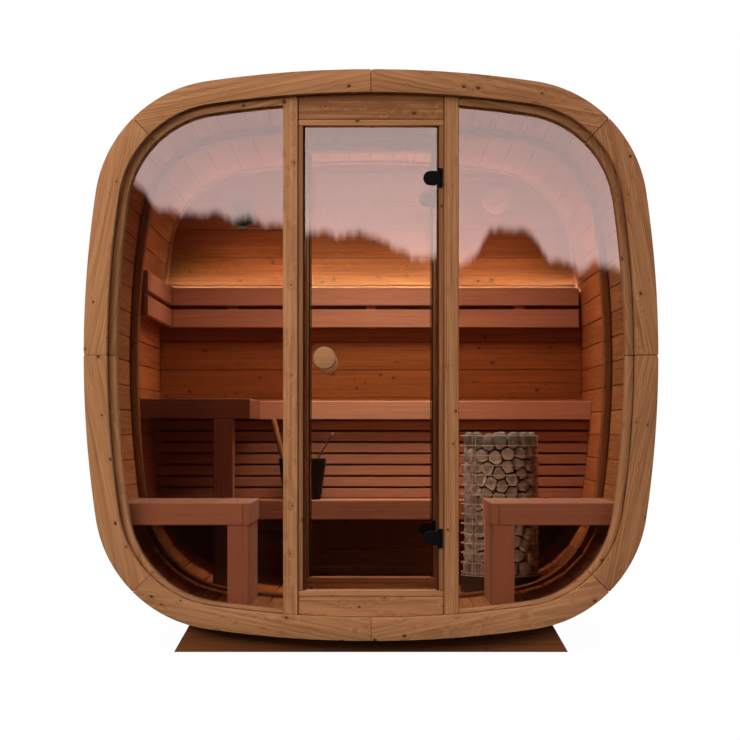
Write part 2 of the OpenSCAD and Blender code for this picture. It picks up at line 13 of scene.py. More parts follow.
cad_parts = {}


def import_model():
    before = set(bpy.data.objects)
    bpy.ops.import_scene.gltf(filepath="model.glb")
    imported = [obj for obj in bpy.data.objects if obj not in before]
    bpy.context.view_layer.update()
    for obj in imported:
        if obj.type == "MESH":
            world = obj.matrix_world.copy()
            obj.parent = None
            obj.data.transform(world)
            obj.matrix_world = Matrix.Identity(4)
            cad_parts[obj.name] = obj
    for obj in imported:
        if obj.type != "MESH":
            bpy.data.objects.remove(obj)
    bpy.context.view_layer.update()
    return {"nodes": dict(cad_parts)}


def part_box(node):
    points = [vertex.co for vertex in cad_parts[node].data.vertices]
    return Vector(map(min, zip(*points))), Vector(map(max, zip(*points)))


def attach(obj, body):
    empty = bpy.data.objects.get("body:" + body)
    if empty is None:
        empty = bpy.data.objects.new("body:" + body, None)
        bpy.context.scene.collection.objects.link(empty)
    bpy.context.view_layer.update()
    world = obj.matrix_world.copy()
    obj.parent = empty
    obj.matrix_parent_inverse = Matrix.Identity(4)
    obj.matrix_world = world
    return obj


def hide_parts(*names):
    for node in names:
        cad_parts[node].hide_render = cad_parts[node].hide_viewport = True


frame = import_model()

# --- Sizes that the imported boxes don't give ---
CORNER_R = 0.468  # the rings' rounded corners
SIDE_BULGE = 0.038  # how far each side swells past the corner arcs
SHELL_OUT = -0.038  # offsets from the rings' outer edge
SHELL_IN = -0.080
RING_IN = -0.082
FRAME_OUT = -0.083
FRAME_IN = -0.110
FRAME_EASE = 0.016  # how much less the frames stand in at their lowest point
SIDE_STAVES = 6  # flat staves in each half of a side
CORNER_STAVES = 5
FINE_SIDE = 14  # steps of the smooth curves
FINE_CORNER = 28
JOINT = 0.0018  # gap between two boards of a ring
BEVEL = 0.003  # eased edge of a planed board
EASE = 0.6 * BEVEL  # eased end of a curved board
BOARD = 0.028  # thickness of rails and seats
FIT = 0.001  # gap between boards of two pieces
WALL_PITCH = 0.126  # back wall boards
WALL_JOINT_Z = 1.072
PLANK = 0.100  # seat planks
PLANK_GAP = 0.006
CRADLE_SLOPE = 0.57
HOOP_PITCH = 0.0394
UP = Vector((0, 0, 1))
ALONG_X, ALONG_Y, ALONG_Z = (1, 0, 0), (0, 1, 0), (0, 0, 1)
# Outline of the dark trees that the glass mirrors: place across and height, as shares of
# HORIZON_WIDE and HORIZON_TALL, which are parts of a direction of length 1
HORIZON = ((0.06, 0.585), (0.10, 0.525), (0.15, 0.505), (0.27, 0.495), (0.38, 0.465),
           (0.45, 0.455), (0.48, 0.465), (0.55, 0.425), (0.67, 0.385), (0.70, 0.425),
           (0.72, 0.47), (0.80, 0.465), (0.83, 0.39), (0.87, 0.39), (0.89, 0.37),
           (0.91, 0.39), (0.93, 0.385))
HORIZON_WIDE, HORIZON_TALL = 0.25, 0.20
# Painted shade and light on the eight boards of each trim ring: darker tones on the right and
# lighter on the left, for light falling from the left
RING_PAINTED_SHADING = (1.8, 1.6, -0.6, -1.4, -1.0, -0.6, -1.2, 1.4)  # darker on the right


def low(node):
    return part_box(node)[0]


def high(node):
    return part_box(node)[1]


def round_box(node):
    """Centre of a round piece's box, and half its width."""
    lo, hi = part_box(node)
    return (lo.x + hi.x) / 2, (lo.y + hi.y) / 2, (lo.z + hi.z) / 2, (hi.x - lo.x) / 2


HALF_W = high("front_trim_ring").x
HALF_H = (high("front_trim_ring").z - low("front_trim_ring").z) / 2
MID_Z = (high("front_trim_ring").z + low("front_trim_ring").z) / 2
CORNER_REACH = CORNER_R + SIDE_BULGE
CORNER_X = HALF_W - CORNER_REACH
CORNER_Z = HALF_H - CORNER_REACH


def flat_radius(reach):
    """Radius of the arc that swells a side whose corner arcs start at reach from its middle."""
    return (reach ** 2 + CORNER_REACH ** 2 - CORNER_R ** 2) / (2 * SIDE_BULGE)


SIDE_R, TOP_R = flat_radius(CORNER_Z), flat_radius(CORNER_X)
SIDE_TURN = atan2(CORNER_Z, CORNER_X - HALF_W + SIDE_R)
TOP_TURN = atan2(CORNER_X, CORNER_Z - HALF_H + TOP_R)


def rim(angle, off):
    """Point (x, z) of the outline whose normal is at angle, moved out by off."""
    across, up = cos(angle), sin(angle)
    a = atan2(abs(up), abs(across))
    if a < SIDE_TURN:
        x = HALF_W - SIDE_R + (SIDE_R + off) * cos(a)
        z = (SIDE_R + off) * sin(a)
    elif a > pi / 2 - TOP_TURN:
        x = (TOP_R + off) * cos(a)
        z = HALF_H - TOP_R + (TOP_R + off) * sin(a)
    else:
        x = CORNER_X + (CORNER_R + off) * cos(a)
        z = CORNER_Z + (CORNER_R + off) * sin(a)
    return (copysign(x, across), MID_Z + copysign(z, up))


def turn_over(length, angle):
    """How far the outline's normal turns over a short length near angle."""
    step = 0.001
    return length * step / dist(rim(angle, 0), rim(angle + step, 0))


def quarter_angles(side_n, corner_n):
    """Normal angles of the first quarter, from 0 up to but without a right angle."""
    corner = pi / 2 - SIDE_TURN - TOP_TURN
    return ([SIDE_TURN * i / side_n for i in range(side_n)]
            + [SIDE_TURN + corner * i / corner_n for i in range(corner_n)]
            + [pi / 2 - TOP_TURN + TOP_TURN * i / side_n for i in range(side_n)])


def turn_angles(side_n, corner_n):
    """Normal angles of the whole outline, the same in every quarter."""
    quarter = quarter_angles(side_n, corner_n)
    half = quarter + [pi / 2] + [pi - a for a in reversed(quarter[1:])]
    return half + [pi + a for a in half]


STAVE_ANGLES = turn_angles(SIDE_STAVES, CORNER_STAVES)
FINE_ANGLES = turn_angles(FINE_SIDE, FINE_CORNER)


def frame_rim(angle, off):
    """Point (x, z) in a glazed wall's frame, whose inner edge lies lower at the bottom."""
    share = (FRAME_OUT - off) / (FRAME_OUT - FRAME_IN)
    return rim(angle, off + share * FRAME_EASE * max(0.0, -sin(angle)) ** 2)


ROOM = [rim(a, SHELL_IN) for a in STAVE_ANGLES]


# --- Flat shapes in x and height ---

def rectangle(x0, x1, z0, z1):
    return [(x0, z0), (x1, z0), (x1, z1), (x0, z1)]


def clip(shape, outline):
    """The part of a convex shape inside a convex outline. Both run counter-clockwise."""
    for i, a in enumerate(outline):
        b = outline[(i + 1) % len(outline)]

        def side(p):
            return (b[0] - a[0]) * (p[1] - a[1]) - (b[1] - a[1]) * (p[0] - a[0])

        kept = []
        for j, p in enumerate(shape):
            q = shape[(j + 1) % len(shape)]
            sp, sq = side(p), side(q)
            if sp >= 0:
                kept.append(p)
            if sp * sq < 0:
                t = sp / (sp - sq)
                kept.append((p[0] + t * (q[0] - p[0]), p[1] + t * (q[1] - p[1])))
        shape = kept
    return [p for i, p in enumerate(shape) if dist(p, shape[i - 1]) > 1e-5]


def unit(a, b):
    """Direction from a to b in the plane."""
    length = dist(a, b)
    return ((b[0] - a[0]) / length, (b[1] - a[1]) / length)


def ease_corners(shape, bevel):
    """Cuts each sharp convex corner of a flat shape."""
    eased = []
    for i, p in enumerate(shape):
        before, after = shape[i - 1], shape[(i + 1) % len(shape)]
        u, v = unit(before, p), unit(p, after)
        if u[0] * v[1] - u[1] * v[0] < 0.4:
            eased.append(p)
            continue
        back = min(bevel, 0.4 * dist(before, p))
        on = min(bevel, 0.4 * dist(p, after))
        eased.append((p[0] - u[0] * back, p[1] - u[1] * back))
        eased.append((p[0] + v[0] * on, p[1] + v[1] * on))
    return eased


def inset(shape, depth):
    """The shape with each edge moved in by depth."""
    moved = []
    for i, p in enumerate(shape):
        u = unit(shape[i - 1], p)
        v = unit(p, shape[(i + 1) % len(shape)])
        scale = depth / (1 + u[0] * v[0] + u[1] * v[1])
        moved.append((p[0] - (u[1] + v[1]) * scale, p[1] + (u[0] + v[0]) * scale))
    return moved


# --- Solid shapes: each returns points and faces ---

def tube_faces(rings, n, closed):
    """Faces between rings of n points, with caps unless the rings close on themselves."""
    faces = []
    for k in range(rings if closed else rings - 1):
        a, b = k * n, (k + 1) % rings * n
        for i in range(n):
            j = (i + 1) % n
            faces.append((a + i, b + i, b + j, a + j))
    if not closed:
        faces.append(tuple(range(n)))
        faces.append(tuple(reversed(range((rings - 1) * n, rings * n))))
    return faces


def prism(shape, y0, y1, bevel=BEVEL, corners=True, slot=0.0):
    """A flat shape in x and height made solid from y0 back to y1, with eased edges. With a
    slot, its front part stands back from the neighbouring boards, which its back part meets."""
    if corners and bevel:
        shape = ease_corners(shape, bevel)
    if slot:
        front, meet = inset(shape, slot), inset(shape, -0.0001)
        layers = [(inset(shape, slot + bevel), y0), (front, y0 + bevel), (front, y0 + 0.009),
                  (meet, y0 + 0.0091), (meet, y1)]
    elif bevel:
        small = inset(shape, bevel)
        layers = [(small, y0), (shape, y0 + bevel), (shape, y1 - bevel), (small, y1)]
    else:
        layers = [(shape, y0), (shape, y1)]
    points = [(x, y, z) for flat, y in layers for x, z in flat]
    return points, tube_faces(len(layers), len(shape), False)


def soft_section(off0, off1, y0, y1, radius):
    """A rectangle of offset and depth with rounded corners."""
    section = []
    centres = [(off1 - radius, y1 - radius), (off0 + radius, y1 - radius),
               (off0 + radius, y0 + radius), (off1 - radius, y0 + radius)]
    for k, (off, y) in enumerate(centres):
        for step in range(3):
            a = radians(90 * k + 45 * step)
            section.append((off + radius * cos(a), y + radius * sin(a)))
    return section


def cut_angle(limit, off):
    """Angle of a curved board's end, which may be a function of the offset."""
    return limit(off) if callable(limit) else limit


def sweep(start, end, section, tip=None, place=rim):
    """A section of (offset, y) points carried round the outline from angle start to end, with
    a smaller section at its tips for eased ends. place gives the point for an angle and
    offset."""
    first, last = cut_angle(start, 0), cut_angle(end, 0)
    ease = turn_over(EASE, first)
    stops = [first, last] + [first + ease, last - ease] * bool(tip)
    for turn in (-2 * pi, 0, 2 * pi):
        stops += [a + turn for a in FINE_ANGLES if first + 0.004 < a + turn < last - 0.004]
    points = []
    stops.sort()
    for stop in stops:
        share = (stop - first) / (last - first)
        for off, y in tip if tip and stop in (first, last) else section:
            a, b = cut_angle(start, off), cut_angle(end, off)
            x, z = place(a + share * (b - a), off)
            points.append((x, y, z))
    return points, tube_faces(len(stops), len(section), False)


def bar(x0, x1, section):
    """A section of (y, z) points made solid from x0 to x1."""
    points = [(x, y, z) for x in (x0, x1) for y, z in section]
    return points, tube_faces(2, len(section), False)


def lathe(profile, centre, axis="Y", steps=48):
    """Turns a profile of (radius, distance along the axis) about an axis through centre.
    A profile starts and ends on the axis."""
    cx, cy, cz = centre
    inner = profile[1:-1]
    points, faces = [], []
    for k in range(steps):
        a = 2 * pi * k / steps
        for r, h in inner:
            c, s = r * cos(a), r * sin(a)
            points.append((cx + c, cy + h, cz + s) if axis == "Y" else (cx + c, cy + s, cz + h))
    n = len(inner)
    for k in range(steps):
        a, b = k * n, (k + 1) % steps * n
        for i in range(n - 1):
            faces.append((a + i, b + i, b + i + 1, a + i + 1))
    for end, row in ((profile[0], 0), (profile[-1], n - 1)):
        points.append((cx, cy + end[1], cz) if axis == "Y" else (cx, cy, cz + end[1]))
        tip = len(points) - 1
        for k in range(steps):
            faces.append((tip, k * n + row, (k + 1) % steps * n + row))
    return points, faces


def rod(start, end, radius, steps):
    """A round bar between two points, with domed ends."""
    start, end = Vector(start), Vector(end)
    along = (end - start).normalized()
    side = along.orthogonal().normalized()
    other = along.cross(side)
    length = (end - start).length
    stations = [(0, 0.6), (0.4, 0.92), (1, 1)]
    rings = [(radius * h, radius * r) for h, r in stations]
    rings += [(length - radius * h, radius * r) for h, r in reversed(stations)]
    points = []
    for h, r in rings:
        for k in range(steps):
            a = 2 * pi * k / steps
            points.append(start + along * h + (side * cos(a) + other * sin(a)) * r)
    return points, tube_faces(len(rings), steps, False)


def hoop(centre, radius, thick, steps=72, sides=6):
    """A ring of round wire lying flat."""
    points = []
    for k in range(steps):
        a = 2 * pi * k / steps
        for i in range(sides):
            b = 2 * pi * i / sides
            r = radius + thick * cos(b)
            points.append((centre[0] + r * cos(a), centre[1] + r * sin(a),
                           centre[2] + thick * sin(b)))
    return points, tube_faces(steps, sides, True)


# --- Pieces: many solids joined into one mesh ---

class Piece:
    """Solids joined into one mesh. Each point also keeps its place in its own board's trunk:
    metres along the grain, then across it from the pith. Each board has a tone of its own: random,
    or a given value that paints shade or light on that board."""

    def __init__(self, name):
        self.name = name
        self.rng = random.Random(name)
        self.points, self.faces, self.grain, self.tone = [], [], [], []

    def add(self, solid, along=ALONG_X, pith=(0.05, 0.16), tone=None):
        points, faces = solid
        start = len(self.points)
        points = [Vector(p) for p in points]
        middle = sum(points, Vector()) / len(points)
        along = Vector(along).normalized()
        side = along.orthogonal().normalized()
        other = along.cross(side)
        turn = self.rng.uniform(0, 2 * pi)
        reach = self.rng.uniform(*pith)
        from_end = self.rng.uniform(0, 60)
        shade = self.rng.gauss(0, 1) if tone is None else tone
        for p in points:
            v = p - middle
            self.grain.append((v.dot(along) + from_end, v.dot(side) + reach * cos(turn),
                               v.dot(other) + reach * sin(turn)))
            self.tone.append(shade)
        self.points += points
        self.faces += [tuple(i + start for i in face) for face in faces]

    def board(self, x0, x1, y0, y1, z0, z1, along=ALONG_X, tone=None, bevel=BEVEL, outline=ROOM):
        """Adds a straight board, cut by the room's outline."""
        shape = rectangle(min(x0, x1), max(x0, x1), z0, z1)
        self.add(prism(clip(shape, outline) if outline else shape, y0, y1, bevel), along,
                 tone=tone)

    def build(self, material, slot, *nodes, body="cabin", smooth=30):
        """Makes the mesh, which rides on body and replaces nodes of the frame."""
        mesh = bpy.data.meshes.new(self.name)
        mesh.from_pydata([tuple(p) for p in self.points], [], self.faces)
        grain = mesh.attributes.new("grain", "FLOAT_VECTOR", "POINT")
        grain.data.foreach_set("vector", np.array(self.grain, np.float32).ravel())
        tone = mesh.attributes.new("tone", "FLOAT", "POINT")
        tone.data.foreach_set("value", np.array(self.tone, np.float32))
        shell = bmesh.new()
        shell.from_mesh(mesh)
        bmesh.ops.recalc_face_normals(shell, faces=shell.faces)
        shell.to_mesh(mesh)
        shell.free()
        mesh.polygons.foreach_set("use_smooth", [True] * len(mesh.polygons))
        mesh.set_sharp_from_angle(angle=radians(smooth))
        mesh.materials.append(material)
        piece = bpy.data.objects.new(self.name, mesh)
        bpy.context.scene.collection.objects.link(piece)
        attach(piece, body)
        if nodes:
            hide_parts(*nodes)


def solo(name, solid, material, slot, *nodes, body="cabin", along=ALONG_X):
    """A piece of one solid."""
    piece = Piece(name)
    piece.add(solid, along)
    piece.build(material, slot, *nodes, body=body)


def dress(node, material):
    """Gives its material to a solid of the frame that stays in view."""
    solid = frame["nodes"][node]
    solid.data.materials.clear()
    solid.data.materials.append(material)


# --- Materials ---

class Tree:
    """Short ways to add and link the shader nodes of a new material, or of a given world."""

    def __init__(self, owner):
        self.owner = bpy.data.materials.new(owner) if isinstance(owner, str) else owner
        self.owner.use_nodes = True
        self.tree = self.owner.node_tree
        self.tree.nodes.clear()

    def add(self, kind, values=None, **settings):
        node = self.tree.nodes.new("ShaderNode" + kind)
        for key, value in settings.items():
            setattr(node, key, value)
        for key, value in (values or {}).items():
            self.put(node.inputs[key], value)
        return node

    def put(self, socket, value):
        """Links a socket to a node or to one output of a node, or gives it a value."""
        if isinstance(value, bpy.types.Node):
            value = value.outputs[0]
        if isinstance(value, bpy.types.NodeSocket):
            self.tree.links.new(value, socket)
        elif socket.type == "RGBA":
            socket.default_value = (*value, 1.0)
        else:
            socket.default_value = value

    def math(self, operation, a, b=0.0, clamp=False):
        return self.add("Math", {0: a, 1: b}, operation=operation, use_clamp=clamp).outputs[0]

    def plus(self, a, b, times, clamp=False):
        """a + b * times"""
        return self.math("ADD", a, self.math("MULTIPLY", b, times), clamp)

    def scaled(self, vector, scale):
        return self.add("VectorMath", {0: vector, 1: scale}, operation="MULTIPLY").outputs[0]

    def noise(self, vector, scale, detail=2.0, roughness=0.5):
        return self.add("TexNoise", {"Vector": vector, "Scale": scale, "Detail": detail,
                                     "Roughness": roughness}).outputs["Fac"]

    def span(self, value, low0, low1, to0, to1, kind="LINEAR"):
        return self.add("MapRange", {"Value": value, "From Min": low0, "From Max": low1,
                                     "To Min": to0, "To Max": to1},
                        interpolation_type=kind).outputs[0]

    def mix(self, share, a, b):
        return self.add("Mix", {0: share, 6: a, 7: b}, data_type="RGBA").outputs[2]

    def point(self, name, output):
        """What the mesh keeps at each point under name."""
        return self.add("Attribute", attribute_name=name).outputs[output]

    def principled(self, colour, roughness, values, bump=None):
        """The Principled shader. bump is a height, with the bump's strength and depth."""
        shader = self.add("BsdfPrincipled",
                          {"Base Color": colour, "Roughness": roughness, **values})
        if bump:
            height, strength, depth = bump
            self.put(shader.inputs["Normal"], self.add(
                "Bump", {"Height": height, "Strength": strength, "Distance": depth}))
        return shader

    def surface(self, shader):
        self.add("OutputMaterial", {"Surface": shader})
        return self.owner


def wood(name, pale, dark, knots=1.0, figure=1.0, vary=0.5, roughness=0.55, sheen=0.2):
    """Planed timber from each point's place in the trunk: growth rings, streaks, fibres
    and knots with the rings bent round them. vary scales each board's tone: random tone, and
    painted shade or light where a board is given a value."""
    t = Tree(name)
    place = t.point("grain", "Vector")
    knot_scale, knot_colour = 26.0, (0.05, 0.018, 0.008)
    ring_width = 0.0062
    knot_cells = t.add("TexVoronoi", {"Vector": t.scaled(place, (0.72, 1.0, 1.0)),
                                      "Scale": knot_scale}).outputs
    knot_off = t.math("DIVIDE", knot_cells["Distance"], knot_scale)
    odds = t.add("SeparateColor", {0: knot_cells["Color"]}).outputs[0]
    knot_r = t.span(odds, 0.25, 1.0, 0.0002, 0.0002 + 0.0082 * knots)
    around = t.span(knot_off, 0.003, 0.022, 1.0, 0.0, "SMOOTHSTEP")
    around = t.math("MULTIPLY", around, t.span(odds, 0.2, 0.5, 0.0, min(1.0, knots)))
    core = t.math("SUBTRACT", 1.0, t.math("DIVIDE", knot_off, knot_r), clamp=True)
    core = t.span(core, 0.0, 0.35, 0.0, 1.0, "SMOOTHSTEP")
    radius = t.add("VectorMath", {0: t.scaled(place, (0, 1, 1))}, operation="LENGTH").outputs[1]
    wander = t.noise(t.scaled(place, (1.6, 9, 9)), 1.0)
    bent = t.plus(t.plus(radius, wander, 0.030), around, 0.007)
    ring = t.math("FRACT", t.math("DIVIDE", bent, ring_width))
    late = t.math("MULTIPLY", t.span(ring, 0.15, 0.85, 0, 1, "SMOOTHSTEP"),
                  t.span(ring, 0.88, 1.0, 1, 0))
    length = t.add("SeparateXYZ", {0: place}).outputs[0]
    streak = t.noise(t.add("CombineXYZ", {0: t.math("MULTIPLY", length, 1.3),
                                          1: t.math("MULTIPLY", bent, 80.0)}), 1.0)
    line = t.noise(t.scaled(place, (2.2, 120, 120)), 1.0, 2.0, 0.6)
    fibre = t.noise(t.scaled(place, (16, 380, 380)), 1.0)
    shade = 0.5
    for part, mean, weight in ((late, 0.4, 0.26 * figure), (streak, 0.5, 0.70 * figure),
                               (line, 0.5, 0.4 + 1.0 * figure), (fibre, 0.5, 0.5)):
        shade = t.plus(shade, t.math("SUBTRACT", part, mean), weight)
    shade = t.plus(shade, t.point("tone", "Fac"), 0.16 * vary)
    shade = t.plus(shade, around, 0.10, clamp=True)
    colour = t.mix(t.math("MULTIPLY", core, 0.9), t.mix(shade, pale, dark), knot_colour)
    grooves = t.plus(t.math("MULTIPLY", fibre, 0.6), late, 0.4)
    return t.surface(t.principled(colour, t.span(shade, 0, 1, roughness - 0.05, roughness + 0.08),
                                  {"Specular IOR Level": sheen}, (grooves, 0.25, 0.0006)))


def glass(name, tint, ior, shade=0.85):
    """Tinted glass that lets lamps through. tint is what a whole pane lets pass, and shade is
    the share left of a lamp's light after the glare off both faces."""
    t = Tree(name)
    streaks = t.noise(t.add("TexCoord").outputs["Object"], 1.3, 1.0)
    clear = t.principled(t.mix(streaks, tint, [c * 0.985 for c in tint]), 0.0,
                         {"IOR": ior, "Transmission Weight": 1.0})
    through = t.add("BsdfTransparent", {"Color": [sqrt(c * shade) for c in tint]})
    lamp_ray = t.add("LightPath").outputs["Is Shadow Ray"]
    return t.surface(t.add("MixShader", {0: lamp_ray, 1: clear, 2: through}))


def coated(name, colour, worn, roughness, metallic=0.0, sheen=0.5):
    """A painted or plain metal, plastic or rubber with a fine mottle."""
    t = Tree(name)
    where = t.add("TexCoord").outputs["Object"]
    mottle, cloud = t.noise(where, 400.0), t.noise(where, 9.0)
    share = t.math("MULTIPLY", t.math("ADD", mottle, cloud), 0.5)
    return t.surface(t.principled(
        t.mix(share, colour, worn),
        t.span(mottle, 0.3, 0.7, roughness - 0.06, roughness + 0.06),
        {"Metallic": metallic, "Specular IOR Level": sheen}, (mottle, 0.3, 0.0002)))


def stone(name):
    """Rounded grey-brown heater stones, each a little different; the stones on top are given
    painted shade.
    """
    t = Tree(name)
    where = t.add("TexCoord").outputs["Object"]
    speck, cloud = t.noise(where, 260.0, 4.0, 0.7), t.noise(where, 34.0, 3.0)
    share = t.plus(t.math("MULTIPLY", speck, 0.5), cloud, 0.5)
    share = t.plus(share, t.point("tone", "Fac"), 0.14, clamp=True)
    return t.surface(t.principled(
        t.mix(share, (0.19, 0.20, 0.175), (0.58, 0.60, 0.52)),
        t.span(speck, 0.3, 0.7, 0.75, 0.95), {"Specular IOR Level": 0.25},
        (speck, 0.5, 0.0012)))


def glow(name, colour, strength):
    """The light strip's diffuser."""
    t = Tree(name)
    beads = t.noise(t.add("TexCoord").outputs["Object"], 60.0, 0.0)
    beads = t.span(beads, 0.3, 0.7, 0.92, 1.0)
    tint = t.mix(beads, [c * 0.9 for c in colour], colour)
    return t.surface(t.principled(
        t.mix(beads, (0.7, 0.62, 0.5), (0.8, 0.74, 0.62)), 0.6,
        {"Emission Color": tint, "Emission Strength": strength}))


OUTER_WOOD = wood("outer_wood", (0.490, 0.222, 0.093), (0.230, 0.085, 0.030))
STAVE_WOOD = wood("stave_wood", (0.500, 0.190, 0.066), (0.240, 0.074, 0.022), knots=0.9,
                  vary=0.9)
# Painted shade: a darker copy of the stave wood for the back wall, deepest in the hot room; its
# stronger sheen is set by the shader
BACK_WALL_PAINTED_SHADE_WOOD = wood("back_wall_wood", (0.330, 0.106, 0.026), (0.150, 0.040, 0.009), knots=1.1,
                 vary=0.9, roughness=0.42, sheen=0.5)
# Painted shade: a darker copy of the outer wood for the partition's frame, posts, panels and door
# frame, which sit in shade inside the cabin
INNER_PAINTED_SHADE_WOOD = wood("inner_wood", (0.330, 0.130, 0.052), (0.165, 0.056, 0.018))
# Near-black wood that paints shade: on the door stops, for the dark gap beside the glass, and
# behind the trim rings' joints
PAINTED_SHADE_WOOD = wood("painted_shade_wood", (0.075, 0.026, 0.008), (0.040, 0.012, 0.004), figure=0.5)
# Painted shade: a darker copy of the outer wood for the cradles, which sit in the shade under the
# shell
CRADLE_PAINTED_SHADE_WOOD = wood("cradle_painted_shade_wood", (0.230, 0.074, 0.020), (0.128, 0.038, 0.010))
BENCH_WOOD = wood("bench_wood", (0.560, 0.270, 0.160), (0.290, 0.116, 0.060), knots=0.0,
                  figure=0.3, vary=0.4)
# Painted light: a lighter copy of the bench wood for the changing room's low benches
LOW_BENCH_PAINTED_LIGHT_WOOD = wood("low_bench_painted_light_wood", (0.550, 0.245, 0.136), (0.405, 0.160, 0.082),
                      knots=0.0, figure=0.4, vary=0.5)
KNOB_WOOD = wood("knob_wood", (0.450, 0.215, 0.092), (0.300, 0.130, 0.050), knots=0.6, figure=0.6)
SIDE_GLASS = glass("side_glass", (0.80, 0.655, 0.590), 1.9, 0.95)
DOOR_GLASS = glass("door_glass", (0.88, 0.780, 0.720), 1.9, 0.95)
INNER_SIDE_GLASS = glass("inner_side_glass", (0.84, 0.680, 0.610), 1.3)
INNER_DOOR_GLASS = glass("inner_door_glass", (0.92, 0.820, 0.760), 1.3)
BLACK_METAL = coated("black_metal", (0.003, 0.003, 0.003), (0.006, 0.005, 0.005), 0.5,
                     sheen=0.04)
HEATER_METAL = coated("heater_metal", (0.030, 0.026, 0.022), (0.050, 0.042, 0.036), 0.5,
                      sheen=0.2)
WIRE = coated("wire", (0.48, 0.45, 0.38), (0.56, 0.53, 0.45), 0.40)
BUCKET_SHELL = coated("bucket_shell", (0.006, 0.0045, 0.0035), (0.012, 0.009, 0.007), 0.6,
                      sheen=0.12)
TEAL = coated("porthole_metal", (0.030, 0.060, 0.058), (0.060, 0.110, 0.105), 0.3, metallic=0.6)
HEATER_STONE = stone("heater_stone")
WARM_LIGHT = glow("warm_light", (0.72, 0.98, 0.96), 82.0)


# --- Trim rings, frames and shell ---

def ring_boards(name, node, material, off0, off1, arcs, tones=(None,) * 8, place=rim):
    """Curved boards, each with its grain along its own chord. tones, when given, paint shade or
    light on them board by board.
    """
    piece = Piece(name)
    y0, y1 = low(node).y, high(node).y
    board = soft_section(off0, off1, y0, y1, BEVEL)
    tip = soft_section(off0 + EASE, off1 - EASE, y0 + EASE, y1 - EASE, BEVEL - EASE)
    for (start, end), tone in zip(arcs, tones):
        p = rim(cut_angle(start, 0), (off0 + off1) / 2)
        q = rim(cut_angle(end, 0), (off0 + off1) / 2)
        piece.add(sweep(start, end, board, tip, place), along=(q[0] - p[0], 0, q[1] - p[1]),
                  tone=tone)
    piece.build(material, "outer_wood", node)


def joint_cut(angle, side):
    """Angle of a board's end at a joint, half the joint's gap away from it."""
    return angle + turn_over(side * JOINT / 2, angle)


def trim_ring(name, node):
    """Eight boards, and near-black strips behind their joints, which close the gaps and paint
    shade into them.
    """
    joints = [k * pi / 4 for k in range(8)]
    arcs = [(joint_cut(a, 1), joint_cut(a + pi / 4, -1)) for a in joints]
    ring_boards(name, node, OUTER_WOOD, RING_IN, 0, arcs, tones=RING_PAINTED_SHADING)
    tongues = Piece(name.replace("boards", "tongues"))
    section = soft_section(RING_IN + 0.005, -0.005, low(node).y + 0.005, high(node).y - 0.005,
                           0.002)
    for a in joints:
        tongues.add(sweep(joint_cut(a, -16), joint_cut(a, 16), section))
    tongues.build(PAINTED_SHADE_WOOD, "outer_wood")


def post_cut(x, upper):
    """Angle at which an offset of the frame meets a post's side at x."""
    def angle(off):
        a = acos(x / (TOP_R + off))
        if upper:
            return a
        a = 2 * pi - a
        for _ in range(4):
            a += (frame_rim(a, off)[0] - x) / ((TOP_R + off) * sin(a))
        return a
    return angle


def frame_ring(prefix, material):
    reach = high(prefix + "_posts").x + JOINT / 2
    starts = {2: post_cut(-reach, True), 6: post_cut(reach, False)}
    ends = {1: post_cut(reach, True), 5: post_cut(-reach, False)}
    arcs = [(starts.get(k, joint_cut(k * pi / 4, 1)), ends.get(k, joint_cut((k + 1) * pi / 4, -1)))
            for k in range(8)]
    ring_boards(prefix + "_frame_boards", prefix + "_frame_ring", material, FRAME_IN, FRAME_OUT,
                arcs, place=frame_rim)


def stave_profile(a0, a1):
    """A stave's end: eased edges, and a narrow slot beside its neighbour on both faces."""
    ease, slot, depth, lap = 0.0026, 0.0010, 0.009, 0.0001
    out0, out1 = Vector(rim(a0, SHELL_OUT)), Vector(rim(a1, SHELL_OUT))
    in0, in1 = Vector(rim(a0, SHELL_IN)), Vector(rim(a1, SHELL_IN))
    side0, side1 = (in0 - out0).normalized(), (in1 - out1).normalized()
    over = (out1 - out0).normalized()
    thick = (in0 - out0).length

    def edge(at, inward, toward):
        return [at + toward * (slot + ease), at + toward * slot + inward * ease,
                at + toward * slot + inward * depth, at - toward * lap + inward * depth,
                at - toward * lap + inward * (thick - depth),
                at + toward * slot + inward * (thick - depth),
                at + toward * slot + inward * (thick - ease),
                at + toward * (slot + ease) + inward * thick]

    near = edge(out0, side0, over)
    far = edge(out1, side1, -over)
    return [tuple(p) for p in near + far[::-1]]


def staves(node, first, count):
    """Straight staves between count + 1 neighbouring joints of the outline."""
    piece = Piece(node.replace("shell", "staves"))
    n = len(STAVE_ANGLES)
    for k in range(first, first + count):
        a0, a1 = STAVE_ANGLES[k % n], STAVE_ANGLES[(k + 1) % n]
        profile = stave_profile(a0, a1)
        piece.add(prism(profile, low(node).y, high(node).y, bevel=0), along=ALONG_Y)
    piece.build(STAVE_WOOD, "stave_wood", node)


def shell():
    quarter = 2 * SIDE_STAVES + CORNER_STAVES
    side, corner = 2 * SIDE_STAVES, CORNER_STAVES
    walls = ["right_wall_shell", "roof_shell", "left_wall_shell", "floor_shell"]
    corners = ["upper_right_corner_shell", "upper_left_corner_shell",
               "lower_left_corner_shell", "lower_right_corner_shell"]
    for k in range(4):
        staves(walls[k], k * quarter - SIDE_STAVES, side)
        staves(corners[k], k * quarter + SIDE_STAVES, corner)


